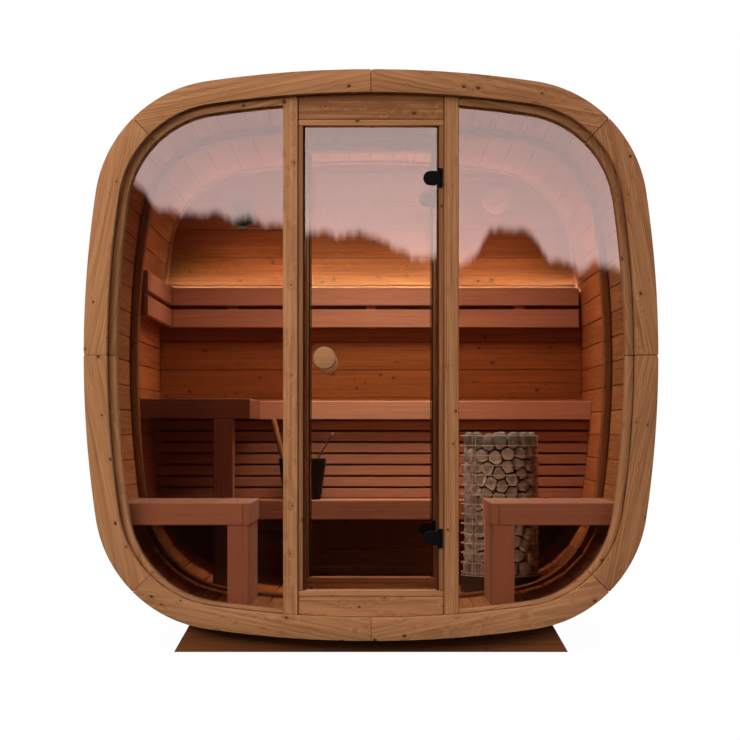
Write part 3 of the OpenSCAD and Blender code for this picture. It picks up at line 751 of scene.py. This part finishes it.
def back_wall():
    piece = Piece("back_wall_boards")
    y0, y1 = low("back_wall").y, high("back_wall").y
    first = (low("back_wall").z - WALL_JOINT_Z) // WALL_PITCH
    z = WALL_JOINT_Z + first * WALL_PITCH
    while z < high("back_wall").z:
        shape = clip(rectangle(-1, 1, z, z + WALL_PITCH), ROOM)
        heights = [p[1] for p in shape]
        if len(shape) > 2 and max(heights) - min(heights) > 0.01:
            piece.add(prism(shape, y0, y1, 0.0022, corners=False, slot=0.0009))
        z += WALL_PITCH
    piece.build(BACK_WALL_PAINTED_SHADE_WOOD, "stave_wood", "back_wall")
    # A trim along the back wall's edge, from just above the backrest over the top, in the pale
    # bench wood; its pale colour also paints the highlight along that junction
    rise = high("back_backrest").z + 0.006 - MID_Z
    start = asin(rise / (SIDE_R + SHELL_IN))
    section = soft_section(SHELL_IN - 0.015, SHELL_IN - 0.001, y0 - 0.013, y0 - 0.0005, 0.003)
    solo("back_wall_edge", sweep(start, pi - start, section), BENCH_WOOD, "inner_wood")


def cradle(node):
    """A board on the ground whose hollow top carries the staves."""
    half = high(node).x
    y0, y1 = low(node).y, high(node).y
    floor = [rim(a, SHELL_OUT) for a in STAVE_ANGLES if pi < a < 2 * pi]
    seat = []
    for i, (x, z) in enumerate(floor):
        edge = half - CRADLE_SLOPE * z
        if abs(x) < edge:
            if not seat:
                x2, z2 = floor[i - 1]
                span = (z2 - z) / (x2 - x)
                cut = (-half + CRADLE_SLOPE * (z - span * x)) / (1 - CRADLE_SLOPE * span)
                seat.append((cut, z + span * (cut - x)))
            seat.append((x, z))
    seat.append((-seat[0][0], seat[0][1]))
    shape = [(-half, 0), (half, 0)] + seat[::-1]
    solo(node + "_board", prism(shape, y0, y1, 0.002), CRADLE_PAINTED_SHADE_WOOD, "outer_wood", node)


# --- Glazed walls ---

def glazed_wall(prefix, timber, side_kind, door_kind):
    posts, sill, header = prefix + "_posts", prefix + "_sill_panel", prefix + "_header_panel"
    y0, y1 = low(posts).y, high(posts).y
    post_in = high(prefix + "_door_frame").x
    piece = Piece(prefix + "_post_boards")
    # Painted shade and light: the left post is given a lighter tone and the right post a darker
    # one, for light falling from the left
    for side in (-1, 1):
        piece.board(side * post_in, side * high(posts).x, y0, y1, 0, 3, along=ALONG_Z,
                    tone=1.0 * side - 0.6)
    piece.build(timber, "outer_wood", posts)

    piece = Piece(prefix + "_panel_boards")
    # Painted shade: the header is given a darker tone, for the shade under the trim ring's
    # overhang
    for node in (header, sill):
        lo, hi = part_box(node)
        piece.board(lo.x + FIT, hi.x - FIT, lo.y, hi.y, lo.z, hi.z,
                    tone=4.0 if node == header else -1.0)
    piece.build(timber, "outer_wood", header, sill)

    lo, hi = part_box(prefix + "_door_frame")
    pane_lo, pane_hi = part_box(prefix + "_door_glass")
    jamb_x, thick, stop_x = 0.2440, 0.0215, 0.233
    stop_y = pane_hi.y + 0.010
    piece = Piece(prefix + "_door_frame_boards")
    gap = 0.0008
    # Painted shade: the jambs are given a much darker tone, for the shade in their recess behind
    # the posts
    for side in (-1, 1):
        piece.board(side * jamb_x, side * (hi.x - gap), lo.y, hi.y, lo.z + thick + gap,
                    hi.z - thick - gap, along=ALONG_Z, tone=6.0, bevel=0.002)
    piece.board(lo.x + gap, hi.x - gap, lo.y, hi.y, hi.z - thick, hi.z - gap, bevel=0.002)
    piece.board(lo.x + gap, hi.x - gap, lo.y, hi.y, lo.z + gap, lo.z + thick, bevel=0.002)
    piece.build(timber, "outer_wood", prefix + "_door_frame")
    # Door stops in near-black wood, painted shade for the dark gap between the glass and the jambs
    piece = Piece(prefix + "_door_stops")
    for side in (-1, 1):
        piece.board(side * stop_x, side * (jamb_x + 0.002), stop_y, stop_y + 0.012,
                    lo.z + thick + gap, hi.z - thick - gap, along=ALONG_Z, bevel=0.0015)
    piece.build(PAINTED_SHADE_WOOD, "outer_wood")

    dress(prefix + "_side_panes", side_kind)

    leaf = prism(rectangle(pane_lo.x, pane_hi.x, pane_lo.z, pane_hi.z), pane_lo.y, pane_hi.y,
                 0.0012)
    solo(prefix + "_door_pane", leaf, door_kind, "bronze_glass", prefix + "_door_glass",
         body=prefix + "_door")


def drum(r, low_end, high_end, ease=0.0008):
    """Profile of a turned cylinder with eased rims."""
    return [(0, low_end), (r - ease, low_end), (r, low_end + ease),
            (r, high_end - ease), (r - ease, high_end), (0, high_end)]


def hinges(prefix):
    """Black glass clamps on the door, and plates with knuckles on the jamb."""
    plate_lo, plate_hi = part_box(prefix + "_hinge_plates")
    clamp_lo, clamp_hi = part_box(prefix + "_door_clamps")
    pane_lo, pane_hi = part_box(prefix + "_door_glass")
    radius = (plate_hi.y - plate_lo.y) / 2
    axis_x, axis_y = plate_lo.x + radius, plate_lo.y + radius
    plate_h, plate_t, clamp_h, knuckle_h, pin_r = 0.069, 0.004, 0.050, 0.036, 0.0028
    plate_screw = [(0, -0.0012), (0.0032, -0.0010), (0.0036, 0.0), (0, 0.0)]
    clamp_screw = [(0, -0.0015), (0.0040, -0.0012), (0.0046, 0.0), (0, 0.0)]
    plates, clamps = Piece(prefix + "_hinges"), Piece(prefix + "_clamps")
    edge = axis_x - radius - 0.003
    round_x = clamp_lo.x + clamp_h / 2
    turns = np.linspace(pi / 2, 3 * pi / 2, 25)
    for z in (plate_lo.z + plate_h / 2, plate_hi.z - plate_h / 2):
        at = (axis_x, axis_y, z)
        plates.board(axis_x - 0.002, plate_hi.x, plate_hi.y - plate_t, plate_hi.y,
                     z - plate_h / 2, z + plate_h / 2, bevel=0.0008, outline=None)
        for end in (-1, 1):
            a, b = sorted((end * (knuckle_h / 2 + 0.001), end * plate_h / 2))
            plates.add(lathe(drum(radius, a, b), at, "Z", 32))
            plates.add(lathe(plate_screw, (axis_x + 0.0085, plate_hi.y - plate_t, z + end * 0.024),
                             "Y", 20))
        plates.add(lathe([(0, -plate_h / 2), (pin_r, -plate_h / 2), (pin_r, plate_h / 2),
                          (0, plate_h / 2)], at, "Z", 20))
        shape = [(edge, z - clamp_h / 2), (edge, z + clamp_h / 2)]
        shape += [(round_x + clamp_h / 2 * cos(a), z + clamp_h / 2 * sin(a)) for a in turns]
        clamps.add(prism(shape, axis_y + 0.001, pane_lo.y, 0.0012, corners=False))
        clamps.add(prism(shape, pane_hi.y, clamp_hi.y, 0.0010, corners=False))
        clamps.board(edge - 0.002, axis_x, axis_y - radius, axis_y + radius, z - knuckle_h / 2,
                     z + knuckle_h / 2, bevel=0.0008, outline=None)
        clamps.add(lathe(drum(radius, -knuckle_h / 2, knuckle_h / 2), at, "Z", 32))
        for end in (-1, 1):
            clamps.add(lathe(clamp_screw, (round_x, axis_y + 0.001, z + end * 0.012), "Y", 24))
    plates.build(BLACK_METAL, "black_metal", prefix + "_hinge_plates")
    clamps.build(BLACK_METAL, "black_metal", prefix + "_door_clamps", body=prefix + "_door")


def knobs(prefix):
    """Turned wooden knobs on both faces of a door."""
    lo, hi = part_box(prefix + "_door_knobs")
    pane_lo, pane_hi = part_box(prefix + "_door_glass")
    x, _, z, radius = round_box(prefix + "_door_knobs")
    neck, ease = 0.013, 0.004
    piece = Piece(prefix + "_turned_knobs")
    for face, end, side in ((pane_lo.y, lo.y, -1), (pane_hi.y, hi.y, 1)):
        length = abs(end - face)
        disc = length - 0.022
        profile = [(0, 0), (neck, 0), (neck, disc - 0.003), (neck + 0.003, disc),
                   (radius - ease, disc), (radius - ease * 0.3, disc + ease * 0.3),
                   (radius, disc + ease), (radius, length - ease),
                   (radius - ease * 0.3, length - ease * 0.3), (radius - ease, length),
                   (0, length)]
        profile = [(r, side * h) for r, h in profile]
        piece.add(lathe(profile, (x, face, z), "Y", 64), pith=(0.04, 0.06))
    piece.build(KNOB_WOOD, "knob_wood", prefix + "_door_knobs", body=prefix + "_door")


# --- Benches ---

def planks(piece, x0, x1, y0, y1, z0, z1, along, pitch=PLANK):
    """Seat planks that fill a rectangle, with gaps between them."""
    run = (x1 - x0) if along == ALONG_Y else (y1 - y0)
    count = max(1, round((run + PLANK_GAP) / (pitch + PLANK_GAP)))
    width = (run + PLANK_GAP) / count - PLANK_GAP
    for k in range(count):
        start = k * (width + PLANK_GAP)
        if along == ALONG_Y:
            piece.board(x0 + start, x0 + start + width, y0, y1, z0, z1, along=along)
        else:
            piece.board(x0, x1, y0 + start, y0 + start + width, z0, z1, along=along)


def low_bench(side, name):
    seat, legs = name + "_low_seat", name + "_low_bench_frame"
    lo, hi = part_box(legs)
    inner = min(abs(lo.x), abs(hi.x))
    rail_z = hi.z - 0.080
    leg_out = inner + 0.084
    recess = 0.006

    def board(x0, x1, *rest, along):
        piece.board(side * x0, side * x1, *rest, along=along)

    piece = Piece(name + "_low_bench_rails")
    board(inner + BOARD, 1, lo.y, lo.y + BOARD, rail_z, hi.z, along=ALONG_X)
    board(inner, inner + BOARD - FIT / 2, lo.y, hi.y - FIT, rail_z, hi.z, along=ALONG_Y)
    board(inner + recess, leg_out, lo.y, lo.y + BOARD, 0, rail_z - FIT, along=ALONG_Z)
    board(inner + recess, inner + BOARD, lo.y + BOARD + FIT / 2, hi.y - FIT, 0,
          rail_z - FIT, along=ALONG_Y)
    piece.build(LOW_BENCH_PAINTED_LIGHT_WOOD, "bench_wood", legs)
    piece = Piece(name + "_low_seat_planks")
    x0, x1 = sorted((side * (inner + BOARD + FIT), side * 0.905))
    planks(piece, x0, x1, lo.y + BOARD + FIT, hi.y - FIT, low(seat).z, hi.z, ALONG_Y)
    piece.build(LOW_BENCH_PAINTED_LIGHT_WOOD, "bench_wood", seat)


def upper_bench():
    lo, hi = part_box("upper_bench_rails")
    top, rail_z = hi.z, lo.z
    inner = -0.478
    back_y = high("upper_back_seat").y
    rail_y = hi.y - BOARD
    piece = Piece("upper_bench_boards")
    # Painted light and shade: the long front rail is given a lighter tone, and the return's side
    # and front boards darker ones, for how the light falls on them
    piece.board(inner, 1, rail_y, hi.y, rail_z, top, tone=-4)
    piece.board(inner - BOARD, inner, lo.y + BOARD + FIT / 2, hi.y, rail_z, top, along=ALONG_Y,
                tone=6)
    piece.board(-1, inner, lo.y, lo.y + BOARD, rail_z, top, tone=7)
    piece.build(BENCH_WOOD, "bench_wood", "upper_bench_rails")
    piece = Piece("upper_back_planks")
    planks(piece, -1, 1, hi.y + FIT, back_y - FIT, top - BOARD, top, ALONG_X)
    piece.build(BENCH_WOOD, "bench_wood", "upper_back_seat")
    piece = Piece("upper_left_planks")
    planks(piece, -0.939, inner - BOARD - FIT, lo.y + BOARD + FIT, hi.y - FIT,
           top - BOARD, top, ALONG_Y)
    piece.build(BENCH_WOOD, "bench_wood", "upper_left_seat")
    plo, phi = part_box("upper_bench_post")
    piece = Piece("upper_bench_post_board")
    piece.board(plo.x, phi.x, plo.y + BOARD, phi.y, 0, top - BOARD, along=ALONG_Z)
    # Painted shade: the post's lower front board is given a darker tone
    piece.board(plo.x, phi.x, plo.y, plo.y + BOARD - FIT / 2, 0, rail_z - FIT / 2, along=ALONG_Z,
                tone=7)
    piece.build(BENCH_WOOD, "bench_wood", "upper_bench_post")


def step_bench():
    lo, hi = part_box("step_bench")
    piece = Piece("step_bench_boards")
    # Painted shade: the step's front rail is given a darker tone, for the shade under the upper
    # bench
    piece.board(-1, 1, lo.y, lo.y + BOARD, lo.z, hi.z, tone=5)
    planks(piece, -1, 1, lo.y + BOARD + FIT, hi.y, hi.z - BOARD, hi.z, ALONG_X, 0.11)
    piece.build(BENCH_WOOD, "bench_wood", "step_bench")
    lo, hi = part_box("bench_skirt")
    count, gap = 7, 0.009
    pitch = (hi.z - lo.z + gap) / count
    piece = Piece("skirt_slats")
    for k in range(count):
        z = lo.z + k * pitch
        piece.board(-1, 1, lo.y, hi.y, z, z + pitch - gap, bevel=0.0015)
    piece.build(BENCH_WOOD, "bench_wood", "bench_skirt")


def backrest():
    lo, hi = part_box("back_backrest")
    height = 0.080
    heights = (lo.z, hi.z - height)
    piece = Piece("back_rest_boards")
    for z in heights:
        piece.board(lo.x, hi.x, lo.y, hi.y, z, z + height)
    piece.build(BENCH_WOOD, "bench_wood", "back_backrest")
    llo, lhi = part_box("left_backrest")
    piece = Piece("left_rest_boards")
    for z in heights:
        piece.board(llo.x, lhi.x - FIT / 2, llo.y, lhi.y, z, z + height, along=ALONG_Y)
    piece.build(BENCH_WOOD, "bench_wood", "left_backrest")
    strip_lo, strip_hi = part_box("light_strip")
    piece = Piece("rest_brackets")
    width, reach = 0.045, 0.263
    wall_y = low("back_wall").y
    for x in (lo.x + reach, 0, hi.x - reach):
        piece.board(x - width / 2, x + width / 2, hi.y, wall_y, lo.z, strip_lo.z - 0.005,
                    along=ALONG_Z)
    for y in (llo.y + 0.090, lo.y - 0.090 - width):
        piece.board(-1, llo.x, y, y + width, lo.z, hi.z, along=ALONG_Z)
    piece.build(BENCH_WOOD, "bench_wood", "backrest_brackets")
    front, back, foot, top = strip_lo.y, strip_hi.y, strip_lo.z, hi.z - FIT
    wall, shelf = 0.0015, wall_y - FIT
    x0, x1 = strip_lo.x, strip_hi.x
    solo("light_strip_channel", bar(x0, x1, [
        (front, foot), (shelf, foot), (shelf, foot + wall), (front + wall, foot + wall),
        (front + wall, top), (front, top)]), HEATER_METAL, "warm_light", "light_strip")
    lens_t = 0.002
    lens = back - wall - lens_t
    solo("light_strip_diffuser", bar(x0 + wall, x1 - wall, [
        (lens, foot + wall), (lens + lens_t, foot + wall), (lens + lens_t, top - wall),
        (lens, top - wall)]), WARM_LIGHT, "warm_light")


# --- Heater ---

def spread(count, width, height, rng, rounds=60):
    """Points spread evenly over a sheet that closes on itself across its width."""
    spots = np.array([(rng.uniform(0, width), rng.uniform(0, height)) for _ in range(count)])
    reach = sqrt(width * height / count) * 1.25
    for _ in range(rounds):
        gap = spots[:, None, :] - spots[None, :, :]
        gap[..., 0] -= width * np.round(gap[..., 0] / width)
        far = np.hypot(gap[..., 0], gap[..., 1]) + 1e-9
        push = np.where((far < reach) & (far > 1e-8), (reach - far) / far, 0)
        spots += 0.12 * (gap * push[..., None]).sum(1)
        spots[:, 0] %= width
        spots[:, 1] = np.clip(spots[:, 1], 0, height)
    return spots


def ball(detail):
    """Points and faces of a unit ball made of triangles."""
    shape = bmesh.new()
    bmesh.ops.create_icosphere(shape, subdivisions=detail, radius=1)
    points = [v.co.copy() for v in shape.verts]
    faces = [tuple(v.index for v in f.verts) for f in shape.faces]
    shape.free()
    return points, faces


BALL = ball(3)
STONE = 0.0335  # half the way between two stones


def cells(spots, width, gap):
    """For each spot, the ways to its neighbours and half the way to each, less half a gap."""
    away = spots[None, :, :] - spots[:, None, :]
    away[..., 0] -= width * np.round(away[..., 0] / width)
    far = np.hypot(away[..., 0], away[..., 1])
    return [(away[i][near] / far[i][near][:, None], far[i][near] / 2 - gap / 2)
            for i in range(len(spots)) for near in [(far[i] > 0) & (far[i] < 3.2 * STONE)]]


def pebble(centre, outward, cell, deep, rng, squareness=9):
    """A stone that fills its cell of the pile: rounded where it meets its neighbours."""
    ways, halves = cell
    outward = outward.normalized()
    side = UP.cross(outward) if abs(outward.z) < 0.9 else Vector((1, 0, 0))
    side = (side - outward * side.dot(outward)).normalized()
    other = outward.cross(side)
    seed = Vector((rng.uniform(0, 50), rng.uniform(0, 50), rng.uniform(0, 50)))
    lean = (rng.uniform(-0.25, 0.25), rng.uniform(-0.25, 0.25))
    points = []
    for p in BALL[0]:
        flat = hypot(p.x, p.y)
        u = (p.x / flat, p.y / flat) if flat > 1e-6 else (1.0, 0.0)
        facing = np.clip(ways @ np.array(u), 0, None) / halves
        reach = min(max((facing ** squareness).sum(), 1e-9) ** (-1 / squareness), 1.35 * STONE)
        swell = 1 + 0.10 * noise.noise(p * 1.6 + seed) + 0.04 * noise.noise(p * 4.0 + seed)
        wide = reach * flat ** 0.8 * min(1.0, 0.93 * swell)
        out = deep * (copysign(abs(p.z) ** 0.7, p.z) * swell
                      + flat * (lean[0] * u[0] + lean[1] * u[1]))
        points.append(centre + side * (u[0] * wide) + other * (u[1] * wide) + outward * out)
    return points, BALL[1]


def heater():
    lo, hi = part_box("heater_stones")
    cage_lo, cage_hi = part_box("heater_cage")
    cx, cy, _, radius = round_box("heater_stones")
    base, deep = lo.z, 0.018
    ring = radius - deep * 1.35
    tall = hi.z - base - 2 * STONE
    round_ring = 2 * pi * ring
    rng = random.Random("stones")
    stones = Piece("stone_pile")
    spots = spread(160, round_ring, tall, rng)
    for (s, h), cell in zip(spots, cells(spots, round_ring, 0.0030)):
        a = s / ring
        outward = Vector((cos(a), sin(a), 0))
        centre = Vector((cx, cy, base + STONE + h)) + outward * ring
        # Painted shade: stones in the top row are given a darker tone
        stones.add(pebble(centre, outward, cell, deep * rng.uniform(0.85, 1.0), rng),
                   along=ALONG_Z, tone=rng.gauss(0, 1) - 2.5 * (h > tall - STONE))
    spots = np.array([(cos(k * 2.4), sin(k * 2.4)) for k in range(16)])
    spots *= (ring - 0.030) * np.sqrt((np.arange(16)[:, None] + 0.5) / 16)
    for (x, y), cell in zip(spots, cells(spots, 9.0, 0.003)):
        centre = Vector((cx + x, cy + y, hi.z - deep * 1.35))
        # Painted shade: the stones on top are given a darker tone
        stones.add(pebble(centre, UP, cell, deep, rng), along=ALONG_Z, tone=-3)
    stones.build(HEATER_STONE, "heater_stone", "heater_stones", smooth=80)
    wide = ring - 0.014
    solo("stone_core", lathe([
        (0, base + 0.002), (wide, base + 0.002), (wide, hi.z - 0.032),
        (wide - 0.01, hi.z - 0.022), (0, hi.z - 0.022)], (cx, cy, 0), "Z", 48),
        HEATER_METAL, "heater_stone")

    wire = 0.0020
    out = (cage_hi.x - cage_lo.x) / 2 - wire
    cage = Piece("cage_wires")
    z = cage_hi.z - wire
    while z > cage_lo.z + wire:
        cage.add(hoop((cx, cy, z), out, wire))
        z -= HOOP_PITCH
    cage.add(hoop((cx, cy, cage_lo.z + wire), out, wire))
    for k in range(3):
        for step in (-0.05, 0.05):
            a = radians(224 + 120 * k) + step
            x, y = cx + (out - 2 * wire) * cos(a), cy + (out - 2 * wire) * sin(a)
            cage.add(rod((x, y, cage_lo.z + 0.001), (x, y, cage_hi.z - 0.001), wire, 8))
    cage.build(WIRE, "cage_wire", "heater_cage")
    dress("heater_base", HEATER_METAL)


# --- Bucket, ladle and vents ---

def bucket():
    lo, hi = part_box("bucket")
    cx, cy, _, top_r = round_box("bucket")
    foot_r, wall, tall = 0.078, 0.008, hi.z - lo.z
    piece = Piece("bucket_staves")
    count = 18

    def radius(h):
        return foot_r + (top_r - foot_r) * h / tall

    for k in range(count):
        a0, a1 = (2 * pi * (k + e) / count for e in (0.012, 0.988))
        points = []
        for h in (0.0, 0.002, tall - 0.002, tall):
            ease = 0.0015 if h in (0.0, tall) else 0
            for a, e in ((a0, 0.0012), (a0 + 0.02, 0), ((a0 + a1) / 2, 0), (a1 - 0.02, 0),
                         (a1, 0.0012)):
                r = radius(h) - e - ease
                points.append((cx + r * cos(a), cy + r * sin(a), lo.z + h))
            for a in (a1, (a0 + a1) / 2, a0):
                r = radius(h) - wall + ease
                points.append((cx + r * cos(a), cy + r * sin(a), lo.z + h))
        piece.add((points, tube_faces(4, 8, False)), along=ALONG_Z)
    liner = foot_r - wall + 0.0015
    piece.add(lathe([(0, 0.001), (liner, 0.001), (liner, 0.0075), (0, 0.0075)],
                    (cx, cy, lo.z), "Z", 36))
    piece.build(BUCKET_SHELL, "bucket_shell", "bucket")

    grip_lo, grip_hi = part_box("bucket_handle")
    grip = 0.012
    lean = radians(14.5)
    foot = Vector((grip_hi.x - grip * cos(lean), cy, grip_lo.z + grip * sin(lean)))
    head = Vector((grip_lo.x + grip * cos(lean), cy, grip_hi.z - grip * sin(lean)))
    solo("bucket_grip", rod(foot, head, grip, 20), KNOB_WOOD, "knob_wood", "bucket_handle",
         along=head - foot)


def ladle():
    foot_z = low("bucket").z
    cx, cy, _, _ = round_box("bucket")
    lean, turn = radians(38.5), radians(-41)
    stem = 0.004
    rim_r = 0.093 - (stem + 0.0003) / cos(lean)
    foot_h, rim_h, top_h = 0.038, 0.172, 0.281

    def at(h):
        r = rim_r + (h - rim_h) * tan(lean)
        return Vector((cx + r * cos(turn), cy + r * sin(turn), foot_z + h))

    piece = Piece("ladle_stem")
    piece.add(rod(at(foot_h), at(top_h), stem, 14), along=at(top_h) - at(foot_h))
    bowl, deep, wall = 0.028, 0.034, 0.002
    base = foot_z + 0.0083
    piece.add(lathe([(0, 0), (bowl - 0.008, 0), (bowl - 0.002, 0.006), (bowl, deep),
                     (bowl - wall, deep), (bowl - 0.004, 0.007), (bowl - 0.009, wall),
                     (0, wall)], (cx + 0.009, cy, base), "Z", 36))
    piece.build(coated("ladle_wood", (0.16, 0.075, 0.035), (0.24, 0.12, 0.06), 0.5), "knob_wood",
                "ladle")
    end = at(top_h)
    along = (end - at(foot_h)).normalized()
    tip = rod(end - along * 0.012, end + along * 0.0005, stem + 0.0004, 14)
    solo("ladle_tip", tip, WIRE, "cage_wire")


def disc(name, node, profile, material, slot):
    """A round piece on the back wall. profile takes its radius and its depth."""
    x, _, z, radius = round_box(node)
    wall_y = high(node).y
    shape = [*profile(radius, wall_y - low(node).y), (radius, 0), (0, 0)]
    solo(name, lathe(shape, (x, wall_y, z), "Y", 64), material, slot, node)


def vents():
    disc("porthole_rim", "porthole_vent", lambda r, deep: [
        (0, -deep * 0.45), (r - 0.017, -deep * 0.45), (r - 0.015, -deep * 0.9),
        (r - 0.012, -deep), (r - 0.004, -deep), (r, -deep + 0.005)], TEAL, "porthole")
    disc("vent_disc", "vent_cover", lambda r, deep: [
        (0, -deep), (r * 0.30, -deep), (r * 0.34, -deep + 0.003), (r * 0.38, -deep),
        (r - 0.006, -deep), (r - 0.0018, -deep + 0.0018), (r, -deep + 0.006)],
        KNOB_WOOD, "knob_wood")


# --- Stage, light and camera ---

def world():
    """White behind the object. Glass mirrors a pale sky over a dark horizon, and the soft
    light from all round comes from above that horizon. Light that reaches the inside through
    the panes is counted once, as light that the lamps and the sky send straight through."""
    bpy.context.scene.world = bpy.data.worlds.new("studio")
    t = Tree(bpy.context.scene.world)
    path = t.add("LightPath").outputs
    toward = t.add("SeparateXYZ", {0: t.add("TexCoord").outputs["Generated"]}).outputs
    height = toward[2]
    soft = t.mix(t.span(height, 0.02, 0.70, 0.0, 1.0, "SMOOTHSTEP"),
                 (0.04, 0.036, 0.033), (0.66, 0.64, 0.62))
    waves = t.noise(t.add("CombineXYZ", {0: t.math("MULTIPLY", toward[0], 75.0)}),
                    1.0, 4.0, 0.62)
    place = t.math("ADD", t.math("MULTIPLY", toward[0], 1 / HORIZON_WIDE), 0.5)
    outline = t.add("ValToRGB", {0: place})
    ramp = outline.color_ramp
    for place, _ in HORIZON[2:]:
        ramp.elements.new(place)
    for stop, (place, share) in zip(ramp.elements, HORIZON):
        stop.position, stop.color = place, (share, share, share, 1.0)
    edge = t.math("MULTIPLY", outline.outputs[0], HORIZON_TALL)
    over = t.plus(t.math("SUBTRACT", height, edge), t.math("SUBTRACT", waves, 0.5), 0.017)
    pale = t.mix(t.span(height, 0.09, 0.15, 0.0, 1.0), (2.55, 2.02, 1.99),
                 (2.05, 1.68, 1.66))
    pale = t.mix(t.span(height, 0.20, 0.50, 0.0, 1.0), pale, (1.00, 0.95, 0.92))
    mirrored = t.mix(t.span(over, -0.0034, 0.0034, 0.0, 1.0, "SMOOTHSTEP"),
                     (0.005, 0.003, 0.002), pale)
    straight = t.math("LESS_THAN", path["Diffuse Depth"], 0.5)
    glossy = t.math("GREATER_THAN", path["Glossy Depth"], 0.5)
    through = path["Is Transmission Ray"]
    shine = t.math("MULTIPLY", t.math("MAXIMUM", path["Is Glossy Ray"], through), straight)
    behind = t.math("MULTIPLY", t.math("MULTIPLY", through, straight),
                    t.math("SUBTRACT", 1.0, glossy))
    seen = t.math("MAXIMUM", path["Is Camera Ray"], behind)
    lost = t.math("MULTIPLY", through, t.math("SUBTRACT", 1.0, straight))
    colour = t.mix(t.math("MULTIPLY", shine, glossy), soft, mirrored)
    colour = t.mix(lost, colour, (0, 0, 0))
    colour = t.mix(seen, colour, (1, 1, 1))
    t.add("OutputWorld", {"Surface": t.add("Background", {"Color": colour})})


def pale_floor():
    mesh = bpy.data.meshes.new("floor")
    reach = 40.0
    corners = [(-reach, -reach, 0), (reach, -reach, 0), (reach, reach, 0), (-reach, reach, 0)]
    mesh.from_pydata(corners, [], [(0, 1, 2, 3)])
    ground = bpy.data.objects.new("floor", mesh)
    bpy.context.scene.collection.objects.link(ground)
    t = Tree("pale_floor")
    path = t.add("LightPath").outputs
    pale = t.add("BsdfDiffuse", {"Color": (0.80, 0.80, 0.80)})
    white = t.add("Emission", {"Color": (1, 1, 1), "Strength": 1.04})
    open_air = t.add("BsdfTransparent", {"Color": (1, 1, 1)})
    seen = t.math("MAXIMUM", path["Is Camera Ray"], path["Is Transmission Ray"])
    plain = t.add("MixShader", {0: t.math("MULTIPLY", seen, 0.93), 1: pale, 2: white})
    mirrored = t.math("GREATER_THAN", path["Glossy Depth"], 0.5)
    both = t.add("MixShader", {0: mirrored, 1: plain, 2: open_air})
    mesh.materials.append(t.surface(both))
    ground.visible_glossy = ground.visible_diffuse = False


def lamp(name, place, target, size, power, colour, spread=180):
    """A soft lamp in watts that faces target, with its light spread over an angle in degrees."""
    light = bpy.data.lights.new(name, "AREA")
    light.shape = "RECTANGLE"
    light.size, light.size_y = size
    light.energy = power
    light.color = colour
    light.spread = radians(spread)
    thing = bpy.data.objects.new(name, light)
    bpy.context.scene.collection.objects.link(thing)
    thing.location = place
    away = Vector(place) - Vector(target)
    thing.rotation_euler = away.to_track_quat("Z", "Y").to_euler()
    thing.visible_camera = thing.visible_transmission = thing.visible_glossy = False


def camera():
    view = bpy.data.cameras.new("camera")
    view.sensor_width = 36.0
    view.lens = 104.5
    view.shift_x, view.shift_y = -0.00135, 0.08378
    thing = bpy.data.objects.new("camera", view)
    bpy.context.scene.collection.objects.link(thing)
    thing.location = (0, -8.685, 0.795)
    thing.rotation_euler = (pi / 2, 0, 0)
    bpy.context.scene.camera = thing


camera()
trim_ring("front_ring_boards", "front_trim_ring")
trim_ring("rear_ring_boards", "rear_trim_ring")
shell()
back_wall()
cradle("front_cradle")
cradle("rear_cradle")
for wall, timber, side_kind, door_kind in (
        ("front", OUTER_WOOD, SIDE_GLASS, DOOR_GLASS),
        ("partition", INNER_PAINTED_SHADE_WOOD, INNER_SIDE_GLASS, INNER_DOOR_GLASS)):
    frame_ring(wall, timber)
    glazed_wall(wall, timber, side_kind, door_kind)
    hinges(wall)
    knobs(wall)
low_bench(-1, "left")
low_bench(1, "right")
upper_bench()
step_bench()
backrest()
heater()
bucket()
ladle()
vents()
world()
pale_floor()
lamp("key", (-2.9, -5.0, 4.2), (0, -0.4, 1.2), (3.0, 2.2), 50, (0.98, 1.0, 1.0))
lamp("low_key", (-3.4, -5.6, 2.3), (0, -0.4, 1.1), (3.0, 1.4), 168, (0.98, 1.0, 1.0))
lamp("fill", (4.0, -6.4, 3.6), (0, -0.4, 1.0), (3.0, 2.4), 142, (0.84, 0.86, 1.0))
lamp("hot_room_ceiling", (0.06, 0.10, 1.90), (0.06, 0.22, 0.0), (1.2, 0.5), 26,
     (0.94, 1.0, 0.98), 135)
lamp("strip_wash", (0.03, 0.79, 1.46), (0.03, 0.931, 1.70), (1.4, 0.04), 2.5,
     (1.0, 0.97, 0.95), 130)
lamp("changing_room_back", (0.12, -0.44, 1.87), (0.10, -0.80, 0.60), (0.7, 0.14), 14.5,
     (0.42, 0.76, 1.0), 130)
lamp("heater_front", (0.36, -0.33, 0.50), (0.53, 0.05, 0.48), (0.10, 0.45), 1.6,
     (1.0, 0.97, 0.95), 70)
lamp("rear", (2.6, 6.4, 3.6), (0, 0, 1.0), (3.0, 2.4), 110, (1.0, 1.0, 1.0))
bpy.context.scene.view_settings.view_transform = "Standard"
